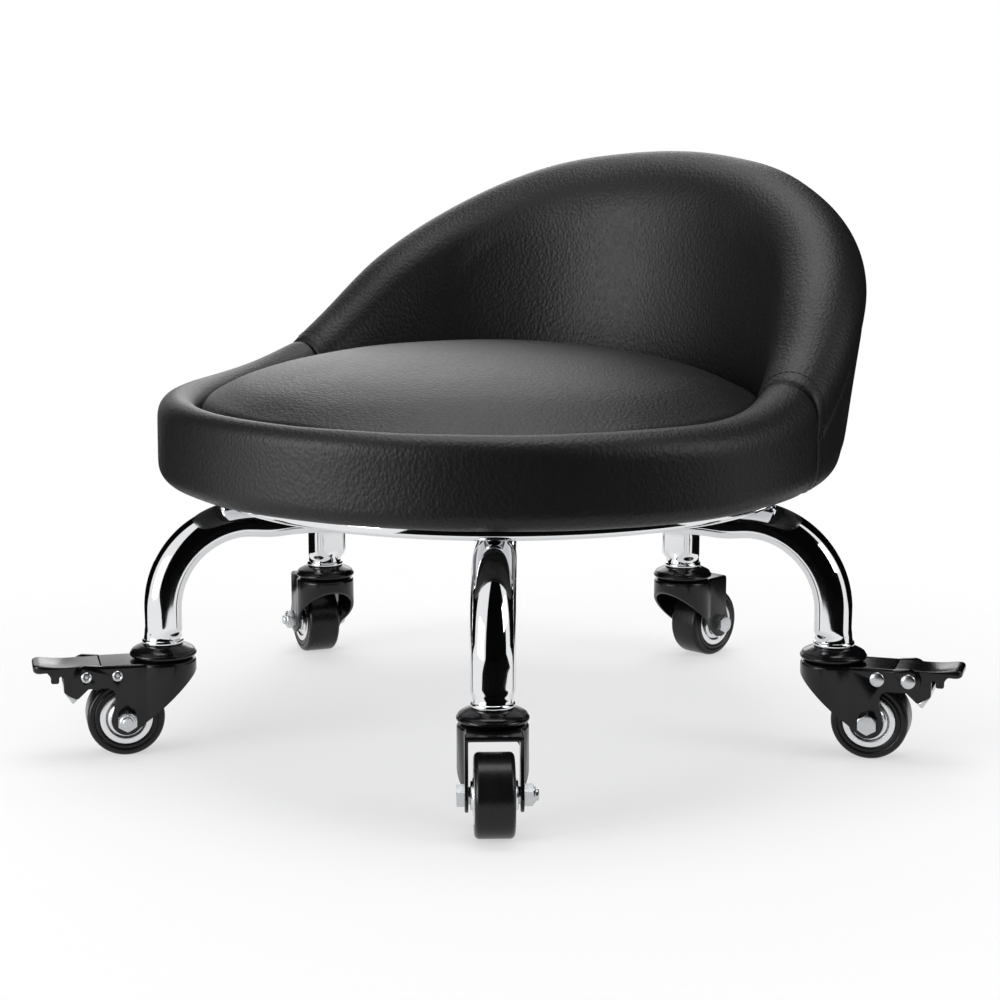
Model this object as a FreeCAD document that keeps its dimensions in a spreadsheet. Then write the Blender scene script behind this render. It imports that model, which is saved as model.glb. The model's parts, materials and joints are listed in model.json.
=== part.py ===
import FreeCAD, Part
import Sketcher
import math
import os
from types import SimpleNamespace

# Low rolling stool: a round padded seat with a wrap-around back, turning on a chrome
# five-leg base with swivel casters, two of them with a foot brake.
# Origin on the floor under the swivel axis, Z up, the seat faces minus Y. Lengths in mm.

SIZES = (
    ("wheel_diameter", 38.1, "wheel over the tyre"),
    ("tread_corner", 2.25, "rounding of the tyre shoulder"),
    ("rim_width", 21.0, "wheel centre across the hub faces"),
    ("rim_recess", 1.5, "tyre edge back from the hub face"),
    ("hub_diameter", 15.0, "raised hub face"),
    ("hub_slope", 1.0, "hub face to its foot, and the rim edge"),
    ("web_dish", 0.8, "depth of the pressed ring in the wheel face"),
    ("web_width", 1.9, "floor of the pressed ring"),
    ("sleeve_diameter", 8.0, "axle sleeve"),
    ("axle_diameter", 6.0, "axle bolt shank"),
    ("run_clearance", 0.03, "wheel bore over the sleeve, radial"),
    ("swivel_clearance", 0.05, "turning bores over their pins, radial"),
    ("hex_across", 10.0, "bolt head and nut over the flats"),
    ("head_height", 3.6, "axle bolt head"),
    ("nut_height", 5.0, "lock nut"),
    ("bolt_end", 2.0, "bolt end past the nut"),
    ("hub_play", 1.0, "hub face to the fork plate"),
    ("fork_sheet", 1.6, "fork steel"),
    ("fork_bend", 1.6, "rounding along the top of the fork"),
    ("fork_waist", 3.0, "hollow bend between the round end and the plates"),
    ("trail", 19.5, "wheel centre behind the stem axis"),
    ("wheel_headroom", 6.2, "fork crown over the wheel"),
    ("crown_thickness", 2.4, "fork crown with its ball race"),
    ("crown_radius", 16.2, "round leading end of the fork"),
    ("crown_beyond", 4.5, "crown end behind the axle"),
    ("brake_crown_beyond", 11.5, "crown end behind the axle, ahead of a brake"),
    ("skirt_depth", 3.4, "wall under the crown at the leading end"),
    ("plate_boss", 7.6, "rounded lower end of the plate"),
    ("plate_waist", 5.4, "rear edge of a brake's plate behind the axle"),
    ("plate_knee", 9.0, "foot of the straight rear edge over the axle"),
    ("plate_throat", 4.0, "hollow corner between plate and brake ear"),
    ("ear_radius", 5.9, "round end of the brake ears"),
    ("pivot_drop", 2.8, "pedal pivot under the crown"),
    ("pivot_diameter", 5.0, "pedal pivot rivet"),
    ("spacer_diameter", 4.0, "spacer rivet over the wheel"),
    ("spacer_beyond", 4.0, "spacer rivet behind the axle"),
    ("rivet_head", 7.3, "rivet head"),
    ("rivet_head_height", 1.6, "rivet head thickness"),
    ("pedal_play", 0.5, "pedal cheek to the fork plate"),
    ("pedal_sheet", 1.5, "pedal steel"),
    ("pedal_top", 5.4, "pedal top over its pivot"),
    ("pedal_front", 6.9, "pedal edge ahead of its pivot"),
    ("pedal_waist", 6.0, "start of the rising tip, behind the pivot"),
    ("pedal_tip", 25.3, "pedal tip behind its pivot"),
    ("pedal_upturn", 1.2, "rise of the tip over the pedal top"),
    ("lip_drop", 4.4, "turned-down lip at the tip"),
    ("lip_corner", 2.6, "rounding of the lip"),
    ("cheek_front", 6.0, "pedal cheek ahead of its pivot"),
    ("cheek_rear", 20.0, "pedal cheek behind its pivot"),
    ("cheek_drop", 2.5, "front corner of the cheek under the pivot"),
    ("throat_lead", 1.0, "cheek corner over the tyre, ahead of the pivot"),
    ("throat_drop", 6.4, "cheek corner over the tyre, under the pivot"),
    ("arm_rear", 10.9, "rear edge of the brake arm behind the pivot"),
    ("arm_drop", 7.5, "arm end at its rear edge, under the pivot"),
    ("shoe_lead", 4.4, "arm end at its front edge, behind the pivot"),
    ("shoe_drop", 11.4, "arm end at its front edge, under the pivot"),
    ("shoe_tip", 6.8, "shoe tip behind the pivot"),
    ("shoe_tip_drop", 13.6, "shoe tip under the pivot"),
    ("shoe_tongue", 3.0, "shoe between the cheeks"),
    ("catch_reach", 17.0, "release catch behind the pivot"),
    ("catch_drop", 2.8, "release catch under the pivot"),
    ("catch_width", 4.0, "release catch along the pedal"),
    ("catch_notch", 0.6, "notch ahead of the catch, over the pivot"),
    ("stem_beyond", 28.0, "stem axis out past the pan"),
    ("stem_diameter", 10.0, "stem through the fork crown"),
    ("stem_head", 14.0, "riveted lower end of the stem"),
    ("stem_head_height", 2.2, "riveted end thickness"),
    ("stem_shank", 11.0, "stem inside the leg"),
    ("stem_shank_length", 14.0, "stem length inside the leg"),
    ("cap_foot", 30.4, "foot ring of the dust cap"),
    ("cap_foot_height", 1.5, "foot ring height"),
    ("cap_groove", 28.8, "groove over the foot ring"),
    ("cap_groove_height", 0.7, "groove height"),
    ("cap_diameter", 32.6, "dust cap at its lip"),
    ("cap_lip", 1.4, "lip height"),
    ("cap_top", 20.8, "dust cap at the collar"),
    ("cap_height", 7.2, "dust cap height"),
    ("cap_dome", 22.0, "radius of the cap's rounded top"),
    ("collar_diameter", 20.4, "bright collar"),
    ("collar_height", 2.7, "bright collar height"),
    ("collar_edge", 0.9, "collar edge break"),
    ("leg_width", 20.6, "leg across"),
    ("leg_depth", 17.4, "leg from flat face to crest"),
    ("leg_corner", 4.0, "rounding beside the flat face"),
    ("leg_wall", 1.6, "leg steel"),
    ("leg_foot", 19.0, "round lower end of the leg"),
    ("leg_neck", 15.4, "leg foot to the start of the bend"),
    ("leg_bend", 43.0, "bend radius of the centre line"),
    ("leg_run", 71.0, "straight run of the leg under the pan"),
    ("leg_press", 0.7, "depth of the flat pressed on the leg top"),
    ("pan_diameter", 292.0, "base pan"),
    ("pan_sheet", 1.5, "pan steel"),
    ("pan_wall", 6.0, "pan wall height"),
    ("pan_corner", 3.0, "pan corner rounding"),
    ("plate_diameter", 150.0, "swivel plates"),
    ("plate_sheet", 2.0, "swivel plate steel"),
    ("plate_space", 4.5, "between the swivel plates"),
    ("race_margin", 25.0, "ball circle in from the plate edge"),
    ("ball_diameter", 5.5, "swivel ball"),
    ("pin_diameter", 10.0, "swivel pin"),
    ("pin_head", 18.0, "swivel pin head"),
    ("pin_head_height", 2.0, "swivel pin head thickness"),
    ("pan_bolt_margin", 11.0, "pan bolts in from the plate edge"),
    ("pan_bolt_diameter", 6.0, "pan bolt shank"),
    ("pan_bolt_head", 10.0, "pan bolt head"),
    ("pan_bolt_head_height", 2.4, "pan bolt head thickness"),
    ("seat_screw_margin", 14.0, "seat screws in from the ball circle"),
    ("seat_screw_diameter", 4.5, "seat screw shank"),
    ("seat_screw_head", 8.0, "seat screw head"),
    ("seat_screw_head_height", 2.0, "seat screw head thickness"),
    ("seat_screw_length", 9.0, "seat screw in the board"),
    ("access_diameter", 14.0, "hole that reaches the seat screws"),
    ("board_thickness", 12.0, "seat board ply"),
    ("board_ledge", 3.6, "seat board out past the cushion at the front"),
    ("board_clearance", 0.3, "padding to the edge of the seat board"),
    ("cloth_thickness", 0.6, "lining under the board"),
    ("cloth_clearance", 3.0, "lining to the swivel plate"),
    ("cloth_margin", 4.0, "lining in from the board edge"),
    ("rim_drop", 2.0, "padded rim under the seat board"),
    ("rim_lip", 3.0, "flat underside of the rim out past the board"),
    ("rim_corner", 9.0, "lower corner rounding of the rim"),
    ("rim_rise", 29.5, "top of the padded rim over the board"),
    ("seam_rise", 42.0, "top line at the back seam over the board"),
    ("back_rise", 145.0, "top of the back over the board"),
    ("back_lean", 11.0, "back wall out past the rim at its top"),
    ("rim_lean", 0.2, "rim wall out past its foot at its top"),
    ("back_seam_angle", 81.4, "seam from the back axis, degrees"),
    ("cushion_diameter", 282.0, "loose cushion"),
    ("cushion_offset", 15.0, "cushion centre ahead of the axis"),
    ("cushion_gap", 0.4, "cushion to the padded wall"),
    ("cushion_tuck", 3.0, "cushion sides drawn in at the foot"),
    ("cushion_edge", 26.0, "cushion edge over the board"),
    ("cushion_edge_radius", 8.0, "rounding of the cushion edge"),
    ("cushion_crown", 23.0, "crown of the cushion over its edge"),
    ("back_cover", 15.6, "padding ahead of the back ply"),
    ("back_board_thickness", 8.0, "bent back ply"),
    ("back_board_height", 83.0, "bent back ply over the seat board"),
    ("back_board_angle", 50.0, "half span of the back ply, degrees"),
    ("overrun", 60.0, "length of cuts that pass right through"),
)

LEGS = (("rear", 90.0, -7.0), ("left", 162.0, -13.0), ("front_left", 234.0, -4.0),
        ("front_right", 306.0, 3.0), ("right", 18.0, 2.0))
BRAKED = ("front_left", "right")
BALL_COUNT = 24
PAN_BOLT_ANGLES = (54.0, 126.0, 198.0, 270.0, 342.0)
SEAT_SCREW_ANGLES = (45.0, 135.0, 225.0, 315.0)
ACCESS_ANGLE = 45.0
TOUCH = 1e-6

# Shares of the crest between the seam and the back's top, from the back axis to the seam.
CREST_SHARES = (1.0, 0.98, 0.925, 0.811, 0.64, 0.43, 0.155, 0.0)
CREST_STEP_SHARES = (0.0, 0.15, 0.3, 0.45, 0.6, 0.75, 0.9, 1.0)
BACK_STEP_SHARES = (-1.0, -0.9, -0.78, -0.64, -0.48, -0.32, -0.16, 0.0,
                    0.16, 0.32, 0.48, 0.64, 0.78, 0.9, 1.0)
RIM_STEP_SHARES = (0.0, 0.07, 0.15, 0.25, 0.38, 0.5, 0.62, 0.75, 0.85, 0.93, 1.0)
LEAN_LOW_SHARE = 0.3
RIM_FALL_SHARE = 0.25
HEX_CORNER_SHARE = 1 / math.sqrt(3)

doc = FreeCAD.newDocument("rolling_stool")
sheet = doc.addObject("Spreadsheet::Sheet", "Sizes")


class Size:
    """A length that keeps its number together with the sheet expression it stands for."""

    def __init__(self, value, text):
        self.value = value
        self.text = text

    def __add__(self, other):
        other = as_size(other)
        return Size(self.value + other.value, "(%s + %s)" % (self.text, other.text))

    def __sub__(self, other):
        other = as_size(other)
        return Size(self.value - other.value, "(%s - %s)" % (self.text, other.text))

    def __mul__(self, other):
        other = as_size(other)
        return Size(self.value * other.value, "(%s * %s)" % (self.text, other.text))

    def __truediv__(self, other):
        other = as_size(other)
        return Size(self.value / other.value, "(%s / %s)" % (self.text, other.text))

    def __neg__(self):
        return Size(-self.value, "(0 - %s)" % self.text)


def as_size(number):
    if isinstance(number, Size):
        return number
    return Size(float(number), "%r" % number)


def root(size):
    return Size(math.sqrt(size.value), "sqrt(%s)" % size.text)


def cap_radius(half, rise):
    """Radius of the arc that rises so far over half its chord."""
    return (half * half + rise * rise) / (rise * 2)


def fill_sheet():
    named = {}
    for row, (alias, value, note) in enumerate(SIZES, start=1):
        sheet.set("A%d" % row, alias)
        sheet.set("B%d" % row, "%r" % value)
        sheet.set("C%d" % row, note)
        sheet.setAlias("B%d" % row, alias)
        named[alias] = Size(value, "Sizes." + alias)
    doc.recompute()
    return SimpleNamespace(**named)


d = fill_sheet()
ZERO = as_size(0)
axle_height = d.wheel_diameter / 2
rim_radius = d.hub_diameter / 2 + d.hub_slope * 2 + d.web_dish * 2 + d.web_width
fork_gap = d.rim_width + d.hub_play * 2
fork_half = fork_gap / 2
fork_outer = fork_half + d.fork_sheet
crown_bottom = d.wheel_diameter + d.wheel_headroom
crown_top = crown_bottom + d.crown_thickness
skirt_bottom = crown_bottom - d.skirt_depth
pivot_reach = d.trail + d.wheel_diameter / 2
pivot_height = crown_bottom - d.pivot_drop
collar_top = crown_top + d.cap_height + d.collar_height
stem_circle = d.pan_diameter + d.stem_beyond * 2
leg_knee = collar_top + d.leg_neck
leg_level = leg_knee + d.leg_bend
leg_inner_end = stem_circle / 2 - d.leg_bend - d.leg_run
pan_bottom = leg_level + d.leg_depth / 2 - d.leg_press
pan_floor = pan_bottom + d.pan_sheet
lower_top = pan_floor + d.plate_sheet
upper_bottom = lower_top + d.plate_space
board_bottom = upper_bottom + d.plate_sheet
board_top = board_bottom + d.board_thickness
pan_bolt_circle = d.plate_diameter - d.pan_bolt_margin * 2
ball_circle = d.plate_diameter - d.race_margin * 2
seat_screw_circle = ball_circle - d.seat_screw_margin * 2
inner_front = d.cushion_diameter / 2 + d.cushion_gap + d.cushion_offset
board_radius = inner_front + d.board_ledge
seat_radius = board_radius + d.rim_lip + d.rim_corner
seat_bottom = board_bottom - d.rim_drop
back_ply_radius = inner_front - d.cushion_offset * 2 + d.back_cover + d.back_board_thickness
exported = []


def bind(target, prop, size):
    """Ties a property to the sheet."""
    size = as_size(size)
    target.setExpression(prop, size.text)


def placed(x=0.0, y=0.0, z=0.0, axis=FreeCAD.Vector(0, 0, 1), angle=0.0):
    return FreeCAD.Placement(FreeCAD.Vector(x, y, z), FreeCAD.Rotation(axis, angle))


def polar(radius, degrees):
    a = math.radians(degrees)
    return radius * math.cos(a), radius * math.sin(a)


def new_body(label):
    body = doc.addObject("PartDesign::Body", "B_" + label)
    body.Label = label
    exported.append(body)
    return body


def new_sketch(body, role, lift=None, name="Outline"):
    """A sketch on one of the body's own planes, lifted along the plane's normal."""
    sketch = body.newObject("Sketcher::SketchObject", name)
    plane = [f for f in body.Origin.OriginFeatures if f.Role == role][0]
    sketch.AttachmentSupport = [(plane, "")]
    sketch.MapMode = "FlatFace"
    if lift is not None:
        bind(sketch, "AttachmentOffset.Base.z", lift)
    return sketch


def pin_point(sketch, geo, pos, x, y):
    """Holds a point by its distances from the sketch origin."""
    for kind, size in (("DistanceX", x), ("DistanceY", y)):
        size = as_size(size)
        index = sketch.addConstraint(Sketcher.Constraint(kind, -1, 1, geo, pos, size.value))
        label = "%s_%d" % (kind[-1].lower(), index)
        sketch.renameConstraint(index, label)
        bind(sketch, "Constraints." + label, size)


def add_circle(sketch, x, y, diameter):
    x, y, diameter = as_size(x), as_size(y), as_size(diameter)
    centre = FreeCAD.Vector(x.value, y.value, 0)
    circle = Part.Circle(centre, FreeCAD.Vector(0, 0, 1), diameter.value / 2)
    geo = sketch.addGeometry(circle, False)
    pin_point(sketch, geo, 3, x, y)
    index = sketch.addConstraint(Sketcher.Constraint("Diameter", geo, diameter.value))
    sketch.renameConstraint(index, "dia_%d" % index)
    bind(sketch, "Constraints.dia_%d" % index, diameter)


def arc_between(p, q, radius, side):
    """Arc of under a half circle from p to q; side 1 bulges to the right of the way."""
    way = q - p
    left = FreeCAD.Vector(-way.y, way.x, 0).normalize()
    rise = math.sqrt(max(radius * radius - way.Length * way.Length / 4, 0))
    centre = (p + q) / 2 + left * (rise * side)
    first, last = (p, q) if side > 0 else (q, p)
    a0 = math.atan2(first.y - centre.y, first.x - centre.x)
    a1 = math.atan2(last.y - centre.y, last.x - centre.x)
    if a1 < a0:
        a1 += 2 * math.pi
    return Part.ArcOfCircle(Part.Circle(centre, FreeCAD.Vector(0, 0, 1), radius), a0, a1)


def add_outline(sketch, points, arcs=None, closed=True):
    """A run of lines and arcs through held points; arcs maps an edge to (radius, side)."""
    arcs = arcs or {}
    spots = [(as_size(x), as_size(y)) for x, y in points]
    count = len(spots) if closed else len(spots) - 1
    edges = []
    for i in range(count):
        a, b = spots[i], spots[(i + 1) % len(spots)]
        p = FreeCAD.Vector(a[0].value, a[1].value, 0)
        q = FreeCAD.Vector(b[0].value, b[1].value, 0)
        if i in arcs:
            radius, side = arcs[i]
            geo = sketch.addGeometry(arc_between(p, q, radius.value, side), False)
            edges.append((geo, 1, 2) if side > 0 else (geo, 2, 1))
        else:
            geo = sketch.addGeometry(Part.LineSegment(p, q), False)
            edges.append((geo, 1, 2))
    joints = count if closed else count - 1
    for i in range(joints):
        geo, _, end = edges[i]
        after, start, _ = edges[(i + 1) % count]
        sketch.addConstraint(Sketcher.Constraint("Coincident", geo, end, after, start))
    for i in range(count):
        pin_point(sketch, edges[i][0], edges[i][1], *spots[i])
    if not closed:
        pin_point(sketch, edges[-1][0], edges[-1][2], *spots[-1])
    for i, (radius, side) in arcs.items():
        index = sketch.addConstraint(Sketcher.Constraint("Radius", edges[i][0], radius.value))
        sketch.renameConstraint(index, "rad_%d" % index)
        bind(sketch, "Constraints.rad_%d" % index, radius)


def pad(body, sketch, length, name="Pad"):
    feature = body.newObject("PartDesign::Pad", name)
    feature.Profile = sketch
    bind(feature, "Length", length)
    body.Tip = feature
    return feature


def pocket(body, sketch, length, name="Pocket"):
    feature = body.newObject("PartDesign::Pocket", name)
    feature.Profile = sketch
    bind(feature, "Length", length)
    body.Tip = feature
    return feature


def turned(label, points, arcs=None):
    """A body turned about its own Z from an outline in radius and height."""
    body = new_body(label)
    sketch = new_sketch(body, "XZ_Plane")
    add_outline(sketch, points, arcs)
    feature = body.newObject("PartDesign::Revolution", "Turn")
    feature.Profile = sketch
    feature.ReferenceAxis = (sketch, ["V_Axis"])
    feature.Angle = 360.0
    body.Tip = feature
    return body


def drill(body, spots, diameter, top, depth):
    """Round holes downward from a height."""
    sketch = new_sketch(body, "XY_Plane", top, "Holes")
    for x, y in spots:
        add_circle(sketch, x, y, diameter)
    pocket(body, sketch, depth)


def around(circle, angles):
    """Spots on a circle, in shares of its diameter."""
    return [(circle * (math.cos(math.radians(a)) / 2), circle * (math.sin(math.radians(a)) / 2))
            for a in angles]


def cylinder(name, diameter, length, base=None):
    solid = doc.addObject("Part::Cylinder", name)
    bind(solid, "Radius", diameter / 2)
    bind(solid, "Height", length)
    if base is not None:
        bind(solid, "Placement.Base.z", base)
    return solid


def hexagon(name, across, length, base):
    solid = doc.addObject("Part::Prism", name)
    solid.Polygon = 6
    bind(solid, "Circumradius", across * HEX_CORNER_SHARE)
    bind(solid, "Height", length)
    bind(solid, "Placement.Base.z", base)
    return solid


def fused(name, *solids):
    joined = doc.addObject("Part::MultiFuse", name)
    joined.Shapes = list(solids)
    return joined


def cut(name, base, tool):
    result = doc.addObject("Part::Cut", name)
    result.Base = base
    result.Tool = tool
    return result


def group(label, members, placement=None):
    joined = doc.addObject("Part::Compound", "G_" + label)
    joined.Label = label
    joined.Links = list(members)
    if placement is not None:
        joined.Placement = placement
    exported.append(joined)
    return joined


# Base: pan, five legs, swivel plate and pin

def make_pan():
    half = d.pan_diameter / 2
    pin = d.pin_diameter / 2
    inner = half - d.pan_sheet
    fold = d.pan_corner - d.pan_sheet
    body = turned("base_pan", (
        (pin, pan_bottom),
        (half - d.pan_corner, pan_bottom),
        (half, pan_bottom + d.pan_corner),
        (half, pan_bottom + d.pan_wall),
        (inner, pan_bottom + d.pan_wall),
        (inner, pan_bottom + d.pan_corner),
        (inner - fold, pan_floor),
        (pin, pan_floor)), {1: (d.pan_corner, 1), 5: (fold, -1)})
    drill(body, around(pan_bolt_circle, PAN_BOLT_ANGLES), d.pan_bolt_diameter, pan_floor,
          d.pan_sheet)
    drill(body, around(seat_screw_circle, (ACCESS_ANGLE,)), d.access_diameter, pan_floor,
          d.pan_sheet)


def make_lower_plate():
    half = d.plate_diameter / 2
    pin = d.pin_diameter / 2
    body = turned("swivel_lower_plate", (
        (pin, pan_floor), (half, pan_floor), (half, lower_top), (pin, lower_top)))
    race = new_sketch(body, "XZ_Plane", name="Race")
    add_circle(race, ball_circle / 2, lower_top + d.plate_space / 2, d.ball_diameter)
    groove = body.newObject("PartDesign::Groove", "RaceGroove")
    groove.Profile = race
    groove.ReferenceAxis = (race, ["V_Axis"])
    groove.Angle = 360.0
    body.Tip = groove
    drill(body, around(pan_bolt_circle, PAN_BOLT_ANGLES), d.pan_bolt_diameter, lower_top,
          d.plate_sheet)
    drill(body, around(seat_screw_circle, (ACCESS_ANGLE,)), d.access_diameter, lower_top,
          d.plate_sheet)


def make_upper_plate():
    half = d.plate_diameter / 2
    bore = d.pin_diameter / 2 + d.swivel_clearance
    body = turned("swivel_upper_plate", (
        (bore, upper_bottom), (half, upper_bottom), (half, board_bottom), (bore, board_bottom)))
    race = new_sketch(body, "XZ_Plane", name="Race")
    add_circle(race, ball_circle / 2, lower_top + d.plate_space / 2,
               d.ball_diameter + d.swivel_clearance * 2)
    groove = body.newObject("PartDesign::Groove", "RaceGroove")
    groove.Profile = race
    groove.ReferenceAxis = (race, ["V_Axis"])
    groove.Angle = 360.0
    body.Tip = groove
    drill(body, around(seat_screw_circle, SEAT_SCREW_ANGLES), d.seat_screw_diameter,
          board_bottom, d.plate_sheet)


def make_pin():
    shank = d.pin_diameter / 2
    head = d.pin_head / 2
    turned("swivel_pin", (
        (ZERO, pan_bottom - d.pin_head_height), (head, pan_bottom - d.pin_head_height),
        (head, pan_bottom), (shank, pan_bottom), (shank, board_bottom), (head, board_bottom),
        (head, board_bottom + d.pin_head_height), (ZERO, board_bottom + d.pin_head_height)))


def make_balls():
    balls = []
    for x, y in around(ball_circle, [360.0 * i / BALL_COUNT for i in range(BALL_COUNT)]):
        ball = doc.addObject("Part::Sphere", "Ball")
        bind(ball, "Radius", d.ball_diameter / 2)
        bind(ball, "Placement.Base.x", x)
        bind(ball, "Placement.Base.y", y)
        bind(ball, "Placement.Base.z", lower_top + d.plate_space / 2)
        balls.append(ball)
    group("swivel_balls", balls)


def make_pan_bolts():
    members = []
    for x, y in around(pan_bolt_circle, PAN_BOLT_ANGLES):
        shank = cylinder("PanShank", d.pan_bolt_diameter,
                         d.plate_sheet + d.pan_sheet + d.nut_height, pan_bottom - d.nut_height)
        head = cylinder("PanHead", d.pan_bolt_head, d.pan_bolt_head_height, lower_top)
        nut = hexagon("PanNut", d.hex_across, d.nut_height, pan_bottom - d.nut_height)
        bolt = fused("PanBolt", shank, head, nut)
        bind(bolt, "Placement.Base.x", x)
        bind(bolt, "Placement.Base.y", y)
        members.append(bolt)
    group("pan_bolts", members)


def section_points(flat, deep, wide, corner):
    """Leg section: flat face toward the axis, rounded crest outward."""
    crest = flat + deep
    turn = crest - wide
    return ((flat + corner, -wide), (turn, -wide), (crest, ZERO), (turn, wide),
            (flat + corner, wide), (flat, wide - corner), (flat, -(wide - corner)))


def make_leg(name, angle):
    body = new_body("leg_" + name)
    reach = stem_circle / 2
    half = d.leg_width / 2
    flat = reach - d.leg_depth / 2
    path = new_sketch(body, "XZ_Plane", name="Path")
    add_outline(path, ((reach, leg_knee), (reach - d.leg_bend, leg_level),
                       (leg_inner_end, leg_level)), {0: (d.leg_bend, 1)}, closed=False)
    outer = new_sketch(body, "XY_Plane", leg_knee, "Section")
    add_outline(outer, section_points(flat, d.leg_depth, half, d.leg_corner),
                {1: (half, 1), 2: (half, 1), 4: (d.leg_corner, 1), 6: (d.leg_corner, 1)})
    doc.recompute()
    tube = body.newObject("PartDesign::AdditivePipe", "Tube")
    tube.Profile = outer
    tube.Spine = (path, ["Edge1", "Edge2"])
    body.Tip = tube
    doc.recompute()
    foot = new_sketch(body, "XY_Plane", collar_top, "Foot")
    ring = d.leg_foot / 2
    shares = ((-0.6, -0.8), (0.0, -1.0), (1.0, 0.0), (0.0, 1.0), (-0.6, 0.8), (-0.8, 0.6),
              (-0.8, -0.6))
    add_outline(foot, [(reach + ring * a, ring * b) for a, b in shares],
                {i: (ring, 1) for i in range(len(shares))})
    neck = body.newObject("PartDesign::AdditiveLoft", "Neck")
    neck.Profile = foot
    neck.Sections = [outer]
    neck.Ruled = True
    body.Tip = neck
    inner = new_sketch(body, "XY_Plane", leg_knee, "Hollow")
    inside = half - d.leg_wall
    add_outline(inner, section_points(flat + d.leg_wall, d.leg_depth - d.leg_wall * 2, inside,
                                      d.leg_corner - d.leg_wall),
                {1: (inside, 1), 2: (inside, 1), 4: (d.leg_corner - d.leg_wall, 1),
                 6: (d.leg_corner - d.leg_wall, 1)})
    bore = body.newObject("PartDesign::SubtractivePipe", "Bore")
    bore.Profile = inner
    bore.Spine = (path, ["Edge1", "Edge2"])
    body.Tip = bore
    socket = new_sketch(body, "XY_Plane", leg_knee, "Socket")
    add_circle(socket, reach, ZERO, d.stem_shank)
    pocket(body, socket, leg_knee - collar_top, "SocketBore")
    press = new_sketch(body, "XY_Plane", pan_bottom + d.leg_depth, "Press")
    add_outline(press, ((leg_inner_end - d.leg_depth, -d.leg_width),
                        (reach, -d.leg_width), (reach, d.leg_width),
                        (leg_inner_end - d.leg_depth, d.leg_width)))
    pocket(body, press, d.leg_depth, "PressedFlat")
    body.Placement = placed(angle=angle)


# Casters, built at their own stem with the wheel trailing along X

def caster_place(angle, turn):
    x, y = polar(stem_circle.value / 2, angle)
    return placed(x, y, 0.0, angle=angle + turn)


def axle_place(angle, turn):
    local = placed(d.trail.value, 0.0, axle_height.value, FreeCAD.Vector(1, 0, 0), 90.0)
    return caster_place(angle, turn).multiply(local)


def make_stem(name, angle):
    thin = d.stem_diameter / 2
    head = d.stem_head / 2
    collar = d.collar_diameter / 2
    shank = d.stem_shank / 2
    seat = crown_top + d.cap_height
    body = turned("caster_stem_" + name, (
        (ZERO, crown_bottom - d.stem_head_height), (head, crown_bottom - d.stem_head_height),
        (head, crown_bottom), (thin, crown_bottom), (thin, seat), (collar - d.collar_edge, seat),
        (collar, seat + d.collar_edge), (collar, collar_top - d.collar_edge),
        (collar - d.collar_edge, collar_top), (shank, collar_top),
        (shank, collar_top + d.stem_shank_length), (ZERO, collar_top + d.stem_shank_length)))
    body.Placement = caster_place(angle, 0.0)


def make_cap(name, angle):
    thin = d.stem_diameter / 2
    groove = crown_top + d.cap_foot_height
    lip = groove + d.cap_groove_height
    body = turned("race_cap_" + name, (
        (thin, crown_top), (d.cap_foot / 2, crown_top), (d.cap_foot / 2, groove),
        (d.cap_groove / 2, groove), (d.cap_groove / 2, lip), (d.cap_diameter / 2, lip),
        (d.cap_diameter / 2, lip + d.cap_lip), (d.cap_top / 2, crown_top + d.cap_height),
        (thin, crown_top + d.cap_height)), {5: (d.cap_lip, 1), 6: (d.cap_dome, 1)})
    body.Placement = caster_place(angle, 0.0)


def rounded_top(body, end):
    """Rounds the fork's top edges as its pressed sheet does, but for the square end."""
    doc.recompute()
    plate = body.Tip
    level = crown_top.value
    edges = []
    for i, edge in enumerate(plate.Shape.Edges, start=1):
        box = edge.BoundBox
        if abs(box.ZMin - level) < TOUCH and abs(box.ZMax - level) < TOUCH and box.XMin < end.value - TOUCH:
            edges.append("Edge%d" % i)
    fillet = body.newObject("PartDesign::Fillet", "TopBend")
    fillet.Base = (plate, edges)
    bind(fillet, "Radius", d.fork_bend)
    body.Tip = fillet


def plate_outline(braked, start, end):
    """Side view of a fork plate back from its bend, with the pedal's ear where there is a brake."""
    boss = d.plate_boss
    rear = d.trail + boss
    points = [(start, axle_height - boss), (d.trail, axle_height - boss), (rear, axle_height)]
    arcs = {1: (boss, 1)}
    if braked:
        ear = d.ear_radius
        low = pivot_height - ear
        edge = d.trail + d.plate_waist
        points += [(edge, axle_height + d.plate_knee), (edge, low - d.plate_throat),
                   (edge + d.plate_throat, low), (pivot_reach, low), (pivot_reach + ear, pivot_height),
                   (pivot_reach, pivot_height + ear), (end, crown_top)]
        arcs.update({4: (d.plate_throat, -1), 6: (ear, 1), 7: (ear, 1)})
    else:
        points += [(end, axle_height + d.plate_knee)]
    return points + [(end, crown_bottom), (start, crown_bottom)], arcs


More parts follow.
